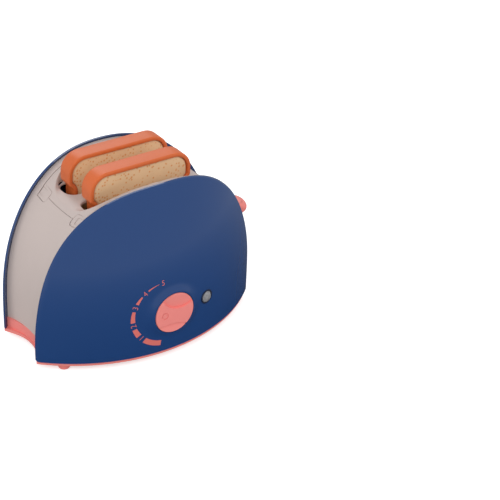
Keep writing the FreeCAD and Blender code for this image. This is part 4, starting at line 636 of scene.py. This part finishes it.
def bulged_panel(name, side, edge, lip):
    """One arched panel: a laid outer skin, a rounded rim, a side wall and an inner skin."""
    columns, rows, steps = 236, 160, 6

    def skin(label, inset, depth):
        def point_of(a, b):
            x, z = panel_spot(a, (b + 1) / 2, inset)
            return face_point(side, x, z, depth, lip)
        return laid_grid(label, columns, rows, point_of)

    outer = skin(name, edge, 0.0)
    only(outer)
    bpy.ops.object.mode_set(mode="EDIT")
    bpy.ops.mesh.select_mode(type="EDGE")
    bpy.ops.mesh.select_all(action="DESELECT")
    bpy.ops.mesh.select_non_manifold()
    before = edge
    for step in range(1, steps + 1):
        turn = math.pi / 2 * step / steps
        after = edge * (1 - math.sin(turn))
        rim_step(outer, side, before, after, edge * (1 - math.cos(turn)))
        before = after
    rim_step(outer, side, 0.0, 0.0, RIM_THICKNESS)
    done()
    inner = skin(name + "_inner", 0.0, RIM_THICKNESS)
    panel = joined([outer, inner], name)
    edit_all(panel)
    bpy.ops.mesh.remove_doubles(threshold=0.02 * MM)
    done_facing_out()
    return panel


def square_to_panel(piece):
    """Turns a shape made round the Y axis square to the panel at the lamp and moves it there."""
    piece.rotation_euler = (0, 0, math.asin(LAMP_X / PLAN_RADIUS))
    piece.location = place(LAMP_X, -panel_y(LAMP_X, LAMP_Z, 0), LAMP_Z)
    apply_place(piece)


class TOASTER_OT_panels(bpy.types.Operator):
    """Model the two bulged panels, the front one with the knob's well and collar and the lamp's hole"""
    bl_idname = "toaster.panels"
    bl_label = "Panels"

    def execute(self, context):
        sizes = context.scene.toaster_sizes
        for label, side in (("front_panel", -1), ("back_panel", 1)):
            panel = bulged_panel(label + "_moulding", side, sizes.panel_edge / MM, sizes.collar_foot / MM)
            if side < 0:
                shaft_hole = round_bar("shaft_hole", SHAFT_HOLE_RADIUS, (0, KNOB_FACE_Y + 10, KNOB_Z), 12,
                                       (0, 1, 0))
                combine(panel, shaft_hole, "DIFFERENCE")
                well = round_bar("well", WELL_RADIUS, (0, KNOB_FACE_Y + KNOB_PROUD, KNOB_Z), 2 * WELL_DEPTH,
                                 (0, 1, 0), 160)
                combine(panel, well, "DIFFERENCE")
                lamp_hole = free_round("lamp_hole", BEZEL_RADIUS, 12.0)
                square_to_panel(lamp_hole)
                combine(panel, lamp_hole, "DIFFERENCE")
            smooth(panel)
            hand_over(panel, "case", "blue_shell", label)
        return {"FINISHED"}


def free_round(name, radius, length, count=64):
    """A round bar about the Y axis, centred on the world's origin."""
    bpy.ops.mesh.primitive_cylinder_add(vertices=count, radius=radius * MM, depth=length * MM,
                                        rotation=(math.pi / 2, 0, 0))
    piece = named(name)
    apply_place(piece)
    return piece


# Body band and deck

def deck_edge_y(x, grow):
    """Half the deck's width at x: it stops short of the panels' inner faces."""
    depth = RIM_THICKNESS + FIT + DECK_STRIP - grow
    y = 30.0
    for _ in range(3):
        y = panel_y(x, band_z(x, y), depth)
    return y


def deck_outline(grow):
    """Plan of the deck with its latch tabs, as a closed ring of points."""
    end = DECK_HALF_LENGTH + grow
    tab_end = DECK_HALF_LENGTH + TAB_HALF_LENGTH + grow
    tab_start = TAB_START_Y - grow
    corner = TAB_CORNER + grow
    quarter = [(end, 0.0), (end, tab_start / 2), (end, tab_start)]
    for step in range(7):
        turn = math.pi / 2 * step / 6
        quarter.append((tab_end - corner + corner * math.sin(turn), tab_start + corner * (1 - math.cos(turn))))
    steps = 48
    for step in range(steps + 1):
        x = tab_end * (1 - step / steps)
        quarter.append((x, deck_edge_y(x, grow)))
    ring = [(-x, -y) for x, y in quarter]
    ring += [(x, -y) for x, y in quarter[-2::-1]]
    ring += [(x, y) for x, y in quarter[1:]]
    ring += [(-x, y) for x, y in quarter[-2:0:-1]]
    return ring


def upright_prism(name, ring):
    return lofted(name, [[(x, y, z) for x, y in ring] for z in DECK_CUT])


def rounded_ring(x_low, x_high, y_low, y_high, radius, steps=6):
    """A rectangle with round corners, as a closed ring of points."""
    corners = ((x_high - radius, y_high - radius, 0), (x_low + radius, y_high - radius, 90),
               (x_low + radius, y_low + radius, 180), (x_high - radius, y_low + radius, 270))
    ring = []
    for x, y, start in corners:
        for step in range(steps + 1):
            turn = math.radians(start + 90 * step / steps)
            ring.append((x + radius * math.cos(turn), y + radius * math.sin(turn)))
    return ring


def tab_groove(side, end):
    """The shape that cuts the groove round the two inner sides of one latch tab."""
    near, corner = DECK_HALF_LENGTH - TAB_HALF_LENGTH, TAB_CORNER
    path = [(near, DECK_EDGE_MOST, (1, 0)), (near, TAB_START_Y + corner, (1, 0))]
    for step in range(1, 7):
        turn = math.pi / 2 * step / 6
        path.append((near + corner * (1 - math.cos(turn)), TAB_START_Y + corner * (1 - math.sin(turn)),
                     (math.cos(turn), math.sin(turn))))
    path.append((DECK_HALF_LENGTH + SEAM_GAP, TAB_START_Y, (0, 1)))
    rings = []
    for x, y, normal in path:
        ring = []
        for across, height in ((-1, -GROOVE_DEPTH), (1, -GROOVE_DEPTH), (1, 3.0), (-1, 3.0)):
            px = end * (x + normal[0] * across * GROOVE_WIDTH / 2)
            py = side * (y + normal[1] * across * GROOVE_WIDTH / 2)
            ring.append((px, py, band_z(px, py) + height))
        rings.append(ring)
    return lofted("tab_groove", rings)


def tab_recess(side, end):
    """The shape that cuts the shallow recess in one latch tab, open to the seam along the panel."""
    start = TAB_START_Y + TAB_INSET + TAB_RECESS_START
    half = TAB_HALF_LENGTH - TAB_INSET
    rings = []
    steps = ((0.9, start), (0.26, start + 0.26), (0.0, start + 0.9), (0.0, start + 8), (0.0, DECK_EDGE_MOST))
    for narrower, y in steps:
        ring = []
        for across, height in ((-1, -GROOVE_DEPTH), (0, -GROOVE_DEPTH), (1, -GROOVE_DEPTH), (1, 3.0), (-1, 3.0)):
            px = end * (DECK_HALF_LENGTH + across * (half - narrower))
            ring.append((px, side * y, band_z(px, side * y) + height))
        rings.append(ring)
    return lofted("tab_recess", rings)


def slot_tool(y):
    """The shape that cuts one bread slot, with a rounded mouth at the dish's floor."""
    mouth, steps = SLOT_MOUTH, 5
    levels = [(0.0, DISH_FLOOR_Z - 12), (0.0, DISH_FLOOR_Z - mouth)]
    for step in range(1, steps + 1):
        turn = math.radians(80) * step / steps
        levels.append((mouth * (1 - math.cos(turn)), DISH_FLOOR_Z - mouth * (1 - math.sin(turn)) + 0.03))
    levels.append((mouth, DISH_FLOOR_Z + 0.3))
    levels.append((mouth, DISH_FLOOR_Z + 40))
    rings = []
    for grow, z in levels:
        ring = rounded_ring(TOAST_CENTRE_X - SLOT_HALF_LENGTH - grow, TOAST_CENTRE_X + SLOT_HALF_LENGTH + grow,
                            y - SLOT_HALF_WIDTH - grow, y + SLOT_HALF_WIDTH + grow, SLOT_CORNER + grow)
        rings.append([(px, py, z) for px, py in ring])
    return lofted("slot_tool", rings)


def band_skin(name, thickness):
    """The body band's surface as a closed shell of one thickness."""
    def point_of(a, share):
        height = PANEL_HEIGHT - band_inset(BASE_TOP_Z, share)
        foot = math.asin(((BASE_TOP_Z - BOTTOM_Z) / height) ** (ARCH_POWER_Z / 2))
        turn = math.pi / 2 + a * (math.pi / 2 - foot)
        return band_point(turn, share)
    band = laid_grid(name, 260, 36, point_of)
    modify(band, "SOLIDIFY", thickness=thickness * MM, offset=-1.0, use_even_offset=True)
    return band


class TOASTER_OT_body(bpy.types.Operator):
    """Model the body band between the panels, open under the deck and slotted for the lever"""
    bl_idname = "toaster.body"
    bl_label = "Body band"

    def execute(self, context):
        body = band_skin("body_shell_moulding", BODY_WALL)
        combine(body, upright_prism("deck_opening", deck_outline(SEAM_GAP)), "DIFFERENCE")
        lever_z = (PADDLE_LOW.z + PADDLE_HIGH.z) / 2 / MM
        ring = rounded_ring(-LEVER_SLOT_HALF_WIDTH, LEVER_SLOT_HALF_WIDTH,
                            lever_z - LEVER_TRAVEL - LEVER_SLOT_HALF_HEIGHT, lever_z + LEVER_SLOT_HALF_HEIGHT,
                            LEVER_SLOT_CORNER)
        lever_slot = lofted("lever_slot", [[(x, y, z) for y, z in ring] for x in LEVER_SLOT_ENDS])
        combine(body, lever_slot, "DIFFERENCE")
        smooth(body)
        hand_over(body, "case", "greige_shell", "body_shell")
        return {"FINISHED"}


class TOASTER_OT_deck(bpy.types.Operator):
    """Model the deck with its soft dish, two bread slots and four latch tabs"""
    bl_idname = "toaster.deck"
    bl_label = "Deck"

    def execute(self, context):
        lip = context.scene.toaster_sizes.dish_lip / MM
        reach = DECK_HALF_LENGTH + TAB_HALF_LENGTH + 2

        def point_of(a, b):
            x = a * reach
            y = b * (deck_edges[round((a + 1) * 90)] + 1.5)
            return x, y, smooth_smaller(band_z(x, y), dish_z(x, y), lip)

        deck_edges = [deck_edge_y((step / 90 - 1) * reach, 0.0) for step in range(181)]
        deck = laid_grid("top_deck_moulding", 180, 160, point_of)
        edit_all(deck)
        bpy.ops.mesh.extrude_region_move(TRANSFORM_OT_translate={"value": (0, 0, -BODY_WALL * MM)})
        done_facing_out()
        combine(deck, upright_prism("deck_region", deck_outline(0.0)), "INTERSECT")
        for side in (-1, 1):
            combine(deck, slot_tool(side * TOAST_PITCH / 2), "DIFFERENCE")
            for end in (-1, 1):
                combine(deck, tab_groove(side, end), "DIFFERENCE")
                combine(deck, tab_recess(side, end), "DIFFERENCE")
        smooth(deck)
        hand_over(deck, "case", "greige_shell", "top_deck")
        return {"FINISHED"}


# Base and feet

def smooth_copy(name, source, degrees=30):
    """A copy of a construction node with its triangles merged and its curved faces shaded smooth."""
    piece = source.copy()
    piece.data = source.data.copy()
    bpy.context.scene.collection.objects.link(piece)
    for key in list(piece.keys()):
        del piece[key]
    piece.parent = None
    piece.name = name
    piece.data.name = name
    only(piece)
    bpy.ops.mesh.customdata_custom_splitnormals_clear()
    edit_all(piece)
    bpy.ops.mesh.remove_doubles(threshold=0.001 * MM)
    done()
    smooth(piece, degrees)
    return piece


class TOASTER_OT_base(bpy.types.Operator):
    """Finish the base tray and model its four feet"""
    bl_idname = "toaster.base"
    bl_label = "Base and feet"

    def execute(self, context):
        tray = smooth_copy("base_tray_moulding", frame["nodes"]["base_tray"])
        hand_over(tray, "case", "coral_shell", "base_tray")
        low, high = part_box("feet")
        radius = FOOT_RADIUS * MM
        feet = []
        for x in (low.x + radius, high.x - radius):
            for y in (low.y + radius, high.y - radius):
                centre = (*spot(Vector((x, y, 0)))[:2], FOOT_HEIGHT / 2)
                foot = round_bar("foot", FOOT_RADIUS, centre, FOOT_HEIGHT, (0, 0, 1), 48)
                pick(foot, "EDGE", lambda e: all(v.co.z < 0.1 * MM for v in e.verts))
                bpy.ops.mesh.bevel(offset=FOOT_EDGE * MM, segments=6)
                done()
                feet.append(foot)
        pads = joined(feet, "feet_moulding")
        smooth(pads)
        hand_over(pads, "case", "coral_feet", "feet")
        return {"FINISHED"}


# Lever

class TOASTER_OT_lever(bpy.types.Operator):
    """Model the lever's thumb paddle"""
    bl_idname = "toaster.lever"
    bl_label = "Lever"

    def execute(self, context):
        centre = (PADDLE_LOW + PADDLE_HIGH) / 2
        size = PADDLE_HIGH - PADDLE_LOW
        paddle = round_bar("lever_paddle_moulding", PADDLE_RADIUS, spot(centre), size.z / MM, (0, 0, 1), 96)
        edit_all(paddle)
        across = 2 * PADDLE_RADIUS * MM
        bpy.ops.transform.resize(value=(size.x / across, size.y / across, 1), center_override=centre)
        done()
        pick(paddle, "EDGE", lambda e: all(abs(v.co.z - centre.z) > size.z * 0.49 for v in e.verts))
        bpy.ops.mesh.bevel(offset=PADDLE_EDGE * MM, segments=10)
        done()
        smooth(paddle, 60)
        hand_over(paddle, "carriage", "coral_lever", "lever_paddle")
        return {"FINISHED"}


# Knob, scale and lamp

class TOASTER_OT_knob(bpy.types.Operator):
    """Model the dial's knob: a disc with two slanting scoops, the grip bar between them and a ring mark"""
    bl_idname = "toaster.knob"
    bl_label = "Knob"

    def execute(self, context):
        knob = free_round("timer_knob_moulding", KNOB_RADIUS, KNOB_THICKNESS, 160)
        front = -KNOB_THICKNESS / 2 * MM
        pick(knob, "EDGE", lambda e: all(v.co.y < front * 0.99 for v in e.verts))
        bpy.ops.mesh.bevel(offset=KNOB_EDGE * MM, segments=5)
        done()
        hinge = Vector((0, front, KNOB_RADIUS * MM))
        for direction, edge, radius, depth in KNOB_SCOOPS:
            slant = math.atan2(depth, KNOB_RADIUS - edge)
            scoop = free_round("scoop", radius, SCOOP_LENGTH, 256)
            only(scoop)
            scoop.location = (0, front - SCOOP_LENGTH / 2 * MM, (edge + radius) * MM)
            apply_place(scoop)
            tilt = Matrix.Translation(hinge) @ Matrix.Rotation(slant, 4, "X") @ Matrix.Translation(-hinge)
            scoop.data.transform(Matrix.Rotation(math.radians(90 - direction), 4, "Y") @ tilt)
            combine(knob, scoop, "DIFFERENCE")
        mark = free_round("mark", KNOB_MARK_RADIUS, 1.0, 64)
        mark_core = free_round("mark_core", KNOB_MARK_RADIUS - KNOB_MARK_LINE, 2.0, 64)
        combine(mark, mark_core, "DIFFERENCE")
        mark.location = (-KNOB_MARK_REACH * MM, front, 0)
        apply_place(mark)
        combine(knob, mark, "DIFFERENCE")
        knob.location = place(0, KNOB_FACE_Y + KNOB_THICKNESS / 2, KNOB_Z)
        apply_place(knob)
        smooth(knob, 30)
        hand_over(knob, "dial", "coral_knob", "timer_knob")
        return {"FINISHED"}


def scale_place(turn, radius):
    return SCALE_CENTRE[0] + radius * math.cos(turn), SCALE_CENTRE[1] + radius * math.sin(turn)


class TOASTER_OT_scale(bpy.types.Operator):
    """Print the dial's tapering scale and its numbers from 1 to 5 on the front panel"""
    bl_idname = "toaster.scale"
    bl_label = "Scale"

    def execute(self, context):
        sizes = context.scene.toaster_sizes
        ink = sizes.ink / MM
        room = math.degrees(DIGIT_ROOM / SCALE_RADIUS)
        prints = []
        for index in range(len(SCALE_STOPS) - 1):
            last = index == len(SCALE_STOPS) - 2
            start = math.radians(SCALE_STOPS[index] + room)
            end = math.radians(SCALE_STOPS[index + 1] - (0 if last else room))

            def point_of(a, b):
                share = (a + 1) / 2
                width = SCALE_WIDTHS[index] + (SCALE_WIDTHS[index + 1] - SCALE_WIDTHS[index]) * share
                x, z = scale_place(start + (end - start) * share, SCALE_RADIUS + b * width / 2)
                return x, -panel_y(x, z, -ink), z

            band = laid_grid("band", 24, 4, point_of)
            modify(band, "SOLIDIFY", thickness=2 * ink * MM, offset=0.0)
            prints.append(band)
        for index, digit in enumerate("54321"):
            prints.append(self.number(digit, math.radians(SCALE_STOPS[index]), sizes.digit_height, ink))
        printed = joined(prints, "dial_scale_print")
        edit_all(printed)
        done_facing_out()
        hand_over(printed, "case", "scale_print", "dial_scale")
        return {"FINISHED"}

    def number(self, digit, turn, height, ink):
        bpy.ops.object.text_add()
        text = bpy.context.active_object
        text.data.body = digit
        text.data.extrude = 0.5
        text.data.offset = DIGIT_THINNING
        bpy.ops.object.convert(target="MESH")
        piece = named("number_" + digit)
        points = [v.co.copy() for v in piece.data.vertices]
        low = Vector(min(p[axis] for p in points) for axis in range(3))
        high = Vector(max(p[axis] for p in points) for axis in range(3))
        size = height / MM / (high.y - low.y)
        centre = (low + high) / 2
        for vertex, point in zip(piece.data.vertices, points):
            across = (point.x - centre.x) * size * DIGIT_SQUEEZE
            up = (point.y - centre.y) * size
            radius = SCALE_RADIUS + up
            x, z = scale_place(turn, radius)
            x += across * math.sin(turn)
            z -= across * math.cos(turn)
            vertex.co = place(x, -panel_y(x, z, -ink if point.z > 0 else ink), z)
        return piece


class TOASTER_OT_lamp(bpy.types.Operator):
    """Model the lamp's faceted lens and its ring"""
    bl_idname = "toaster.lamp"
    bl_label = "Lamp"

    def execute(self, context):
        ring = free_round("lamp_bezel_moulding", BEZEL_RADIUS, BEZEL_LENGTH, 96)
        combine(ring, free_round("ring_hole", LENS_RADIUS, 10.0, 96), "DIFFERENCE")
        ring.location = (0, BEZEL_SETBACK * MM, 0)
        apply_place(ring)
        pick(ring, "EDGE", lambda e: e.is_manifold and e.calc_face_angle() > 1 and all(
            v.co.y < -0.5 * MM for v in e.verts))
        bpy.ops.mesh.bevel(offset=BEZEL_EDGE * MM, segments=3)
        done()
        square_to_panel(ring)
        smooth(ring, 40)
        hand_over(ring, "case", "dark_bezel", "lamp_bezel")
        bpy.ops.mesh.primitive_ico_sphere_add(subdivisions=2, radius=LENS_RADIUS * MM)
        lens = named("lamp_lens_moulding")
        lens.scale = (1, LENS_BULGE, 1)
        apply_place(lens)
        barrel = free_round("barrel", LENS_RADIUS - 0.05, BARREL_LENGTH, 48)
        barrel.location = (0, BARREL_LENGTH / 2 * MM, 0)
        apply_place(barrel)
        flange = free_round("flange", FLANGE_RADIUS, FLANGE_LENGTH, 48)
        flange.location = (0, FLANGE_DEPTH * MM, 0)
        apply_place(flange)
        combine(lens, barrel, "UNION")
        combine(lens, flange, "UNION")
        square_to_panel(lens)
        hand_over(lens, "case", "clear_lens", "lamp_lens")
        return {"FINISHED"}


# Toast

def toast_ring(inset, y):
    """Outline of a slice drawn in by inset, as a ring of points at one depth."""
    half = TOAST_WIDTH / 2 - inset
    top = TOAST_HEIGHT - inset
    shoulder, foot, neck = TOAST_SHOULDER - inset, TOAST_FOOT - inset, TOAST_NECK
    bend = TOAST_NECK_BEND
    neck_radius = neck / (2 * (1 - math.cos(bend)))
    lobe_z = TOAST_HEIGHT - TOAST_LOBE_DROP
    waist = half - neck
    waist_z = lobe_z - 2 * neck_radius * math.sin(bend)
    upper, lower = neck_radius - inset, neck_radius + inset
    side = []
    for step in range(20):
        side.append(((half - shoulder) * step / 20, top))
    for step in range(16):
        turn = math.pi / 2 * step / 16
        side.append((half - shoulder * (1 - math.sin(turn)), top - shoulder * (1 - math.cos(turn))))
    for step in range(6):
        side.append((half, top - shoulder + (lobe_z - top + shoulder) * step / 6))
    for step in range(8):
        turn = bend * step / 8
        side.append((half - upper * (1 - math.cos(turn)), lobe_z - upper * math.sin(turn)))
    for step in range(8):
        turn = bend * (1 - step / 8)
        side.append((waist + lower * (1 - math.cos(turn)), waist_z + lower * math.sin(turn)))
    for step in range(12):
        side.append((waist, waist_z + (inset + foot - waist_z) * step / 12))
    for step in range(9):
        turn = math.pi / 2 * step / 8
        side.append((waist - foot * (1 - math.cos(turn)), inset + foot * (1 - math.sin(turn))))
    side.append(((waist - foot) / 2, inset))
    ring = side + [(0.0, inset)] + [(-x, z) for x, z in side[:0:-1]]
    bottom = TOAST_TOP_Z - TOAST_HEIGHT
    return [(TOAST_CENTRE_X + x, y, bottom + z) for x, z in ring]


def closed_tube(name, rings):
    """As lofted, but open through its middle: the last ring joins the first."""
    tube = lofted(name, rings + [rings[0]])
    pick(tube, "FACE", lambda f: len(f.verts) > 4)
    bpy.ops.mesh.delete(type="ONLY_FACE")
    bpy.ops.mesh.select_all(action="SELECT")
    bpy.ops.mesh.remove_doubles(threshold=0.001 * MM)
    done_facing_out()
    return tube


class TOASTER_OT_toast(bpy.types.Operator):
    """Model the two slices: a crust with rounded edges and a bread face set into each side"""
    bl_idname = "toaster.toast"
    bl_label = "Toast"

    def execute(self, context):
        sizes = context.scene.toaster_sizes
        wall, edge, proud = sizes.crust_wall / MM, sizes.crust_edge / MM, sizes.crust_proud / MM
        for label, middle in (("front_toast", -TOAST_PITCH / 2), ("back_toast", TOAST_PITCH / 2)):
            crust = closed_tube(label + "_crust_moulding", self.crust_rings(middle, wall, edge))
            smooth(crust, 40)
            hand_over(crust, label, "crust", label + "_crust")
            faces = []
            for side in (-1, 1):
                faces.append(self.bread_face(middle, side, wall, proud))
            bread = joined(faces, label + "_bread_moulding")
            smooth(bread, 40)
            hand_over(bread, label, "bread", label + "_bread")
        return {"FINISHED"}

    def crust_rings(self, middle, wall, edge):
        half = TOAST_THICKNESS / 2
        inner, steps = CRUST_INNER_EDGE, 5
        profile = []
        for step in range(steps + 1):
            turn = math.pi / 2 * step / steps
            profile.append((edge * (1 - math.cos(turn)), half - edge * (1 - math.sin(turn))))
        for step in range(steps + 1):
            turn = math.pi / 2 * step / steps
            profile.append((wall - inner * (1 - math.sin(turn)), half - inner * (1 - math.cos(turn))))
        profile.append((wall, half / 2))
        rings = [toast_ring(inset, middle - y) for inset, y in profile]
        return rings + [toast_ring(inset, middle + y) for inset, y in reversed(profile)]

    def bread_face(self, middle, side, wall, proud):
        front = TOAST_THICKNESS / 2 - proud
        levels = ((0.02, front - 3.0), (0.02, front - 1.6), (0.45, front - 0.9), (1.0, front - 0.25),
                  (1.8, front))
        rings = [toast_ring(wall + inset, middle + side * y) for inset, y in levels]
        return lofted("bread_face", rings)


# Everything that stays as constructed

class TOASTER_OT_works(bpy.types.Operator):
    """Finish the constructed pieces that stay: the works, the fasteners, the cells and the door"""
    bl_idname = "toaster.works"
    bl_label = "Works and fasteners"

    def execute(self, context):
        for part in frame["record"]["subparts"]:
            kept = frame["nodes"][part["node"]]
            kept.data.materials.clear()
            kept.data.materials.append(FINISHES[part["material_slot"]])
        return {"FINISHED"}


# Stage

class TOASTER_OT_stage(bpy.types.Operator):
    """Set out the pale floor, the soft lamps and the camera"""
    bl_idname = "toaster.stage"
    bl_label = "Stage"

    def execute(self, context):
        scene = context.scene
        scene.view_settings.view_transform = "Standard"
        self.floor()
        self.world(scene)
        self.lamp("key_softbox", (-1.1, -1.0, 1.7), 1.1, 16.0)
        self.lamp("fill_softbox", (1.3, -1.6, 1.0), 1.4, 13.0)
        self.lamp("left_softbox", (-1.8, 0.5, 0.7), 1.2, 6.0)
        self.lamp("back_softbox", (0.4, 1.4, 1.4), 1.2, 8.0)
        self.camera(scene)
        return {"FINISHED"}

    def floor(self):
        bpy.ops.mesh.primitive_plane_add(size=FLOOR_SIZE)
        floor = named("floor")
        material, tree, shader = new_material("white_paper_sweep", Roughness=0.9)
        shader.inputs["Base Color"].default_value = (0.82, 0.82, 0.82, 1.0)
        ray = node(tree, "ShaderNodeLightPath")
        glow = node(tree, "ShaderNodeEmission", {"Color": (1, 1, 1, 1), "Strength": FLOOR_GLOW})
        both = node(tree, "ShaderNodeAddShader")
        tree.links.new(shader.outputs["BSDF"], both.inputs[0])
        tree.links.new(glow.outputs["Emission"], both.inputs[1])
        seen = node(tree, "ShaderNodeMixShader", {"Fac": ray.outputs["Is Camera Ray"]})
        tree.links.new(shader.outputs["BSDF"], seen.inputs[1])
        tree.links.new(both.outputs["Shader"], seen.inputs[2])
        mirrored = node(tree, "ShaderNodeMixShader", {"Fac": ray.outputs["Is Glossy Ray"]})
        # painted shade: in reflections the floor glows less near the toy, standing in for its shadow there
        centre = node(tree, "ShaderNodeTexCoord").outputs["Object"]
        away = node(tree, "ShaderNodeVectorMath", {0: centre}, operation="LENGTH")
        painted_floor_shade = node(tree, "ShaderNodeMapRange", {"Value": away.outputs["Value"], "From Min": MIRRORED_SPAN[0],
                                                  "From Max": MIRRORED_SPAN[1], "To Min": MIRRORED_LEAST,
                                                  "To Max": MIRRORED_LIGHT})
        soft = node(tree, "ShaderNodeEmission", {"Color": (1, 1, 1, 1), "Strength": painted_floor_shade.outputs["Result"]})
        tree.links.new(seen.outputs["Shader"], mirrored.inputs[1])
        tree.links.new(soft.outputs["Emission"], mirrored.inputs[2])
        tree.links.new(mirrored.outputs["Shader"], tree.nodes["Material Output"].inputs["Surface"])
        floor.data.materials.append(material)

    def world(self, scene):
        world = bpy.data.worlds.new("white_room")
        scene.world = world
        world.use_nodes = True
        tree = world.node_tree
        ray = node(tree, "ShaderNodeLightPath")
        strength = node(tree, "ShaderNodeMapRange", {"Value": ray.outputs["Is Camera Ray"], "To Min": MIRRORED_LIGHT,
                                                    "To Max": 1.0})
        background = tree.nodes["Background"]
        background.inputs["Color"].default_value = (1, 1, 1, 1)
        tree.links.new(strength.outputs["Result"], background.inputs["Strength"])

    def lamp(self, name, location, size, power):
        bpy.ops.object.light_add(type="AREA", location=location)
        lamp = named(name)
        lamp.data.shape = "SQUARE"
        lamp.data.size = size
        lamp.data.energy = power
        lamp.visible_glossy = name == "back_softbox"
        aim = Vector((0, 0, 0.08)) - Vector(location)
        lamp.rotation_euler = aim.to_track_quat("-Z", "Y").to_euler()

    def camera(self, scene):
        back = Vector((-math.sin(CAMERA_TURN) * math.cos(CAMERA_RISE), -math.cos(CAMERA_TURN) * math.cos(CAMERA_RISE),
                       math.sin(CAMERA_RISE)))
        right = Vector((math.cos(CAMERA_TURN), -math.sin(CAMERA_TURN), 0))
        up = Vector((math.sin(CAMERA_TURN) * math.sin(CAMERA_RISE), math.cos(CAMERA_TURN) * math.sin(CAMERA_RISE),
                     math.cos(CAMERA_RISE)))
        across = (PHOTO_SIDE / 2 - PHOTO_CENTRE[0]) / CAMERA_FOCAL_PIXELS
        down = (PHOTO_SIDE / 2 - PHOTO_CENTRE[1]) / CAMERA_FOCAL_PIXELS
        bpy.ops.object.camera_add()
        camera = named("camera")
        camera.location = place(*(CAMERA_TARGET + back * CAMERA_DISTANCE))
        aim = (-back + right * across - up * down).normalized()
        level = (right - aim * right.dot(aim)).normalized()
        camera.rotation_euler = Matrix((level, level.cross(aim), -aim)).transposed().to_euler()
        camera.data.sensor_width = SENSOR_WIDTH
        # The photo's middle lies off the fitted camera's axis; turning the view to it needs a shorter lens
        turned = math.sqrt(1 + across ** 2 + down ** 2)
        camera.data.lens = CAMERA_FOCAL_PIXELS / turned ** 1.5 / PHOTO_SIDE * SENSOR_WIDTH
        camera.data.clip_start = 0.01
        scene.camera = camera


class TOASTER_PT_sidebar(bpy.types.Panel):
    """The toaster's sizes, colours and steps"""
    bl_label = "Toy toaster"
    bl_idname = "TOASTER_PT_sidebar"
    bl_space_type = "VIEW_3D"
    bl_region_type = "UI"
    bl_category = "Toaster"

    def draw(self, context):
        for group in (context.scene.toaster_sizes, context.scene.toaster_colours):
            for key in group.bl_rna.properties.keys():
                if key not in ("rna_type", "name"):
                    self.layout.prop(group, key)
        for step in STEPS:
            self.layout.operator(step.bl_idname)


STEPS = (TOASTER_OT_works, TOASTER_OT_panels, TOASTER_OT_body, TOASTER_OT_deck, TOASTER_OT_base, TOASTER_OT_lever,
         TOASTER_OT_knob, TOASTER_OT_scale, TOASTER_OT_lamp, TOASTER_OT_toast, TOASTER_OT_stage)
GROUPS = (ToasterSizes, ToasterColours)


def register():
    for group in GROUPS + STEPS + (TOASTER_PT_sidebar,):
        bpy.utils.register_class(group)
    bpy.types.Scene.toaster_sizes = PointerProperty(type=ToasterSizes)
    bpy.types.Scene.toaster_colours = PointerProperty(type=ToasterColours)


def unregister():
    del bpy.types.Scene.toaster_sizes
    del bpy.types.Scene.toaster_colours
    for group in reversed(GROUPS + STEPS + (TOASTER_PT_sidebar,)):
        bpy.utils.unregister_class(group)


def main():
    register()
    FINISHES.update(build_finishes(bpy.context.scene.toaster_colours))
    for step in STEPS:
        getattr(bpy.ops.toaster, step.bl_idname.split(".")[1])()


if __name__ == "__main__":
    main()
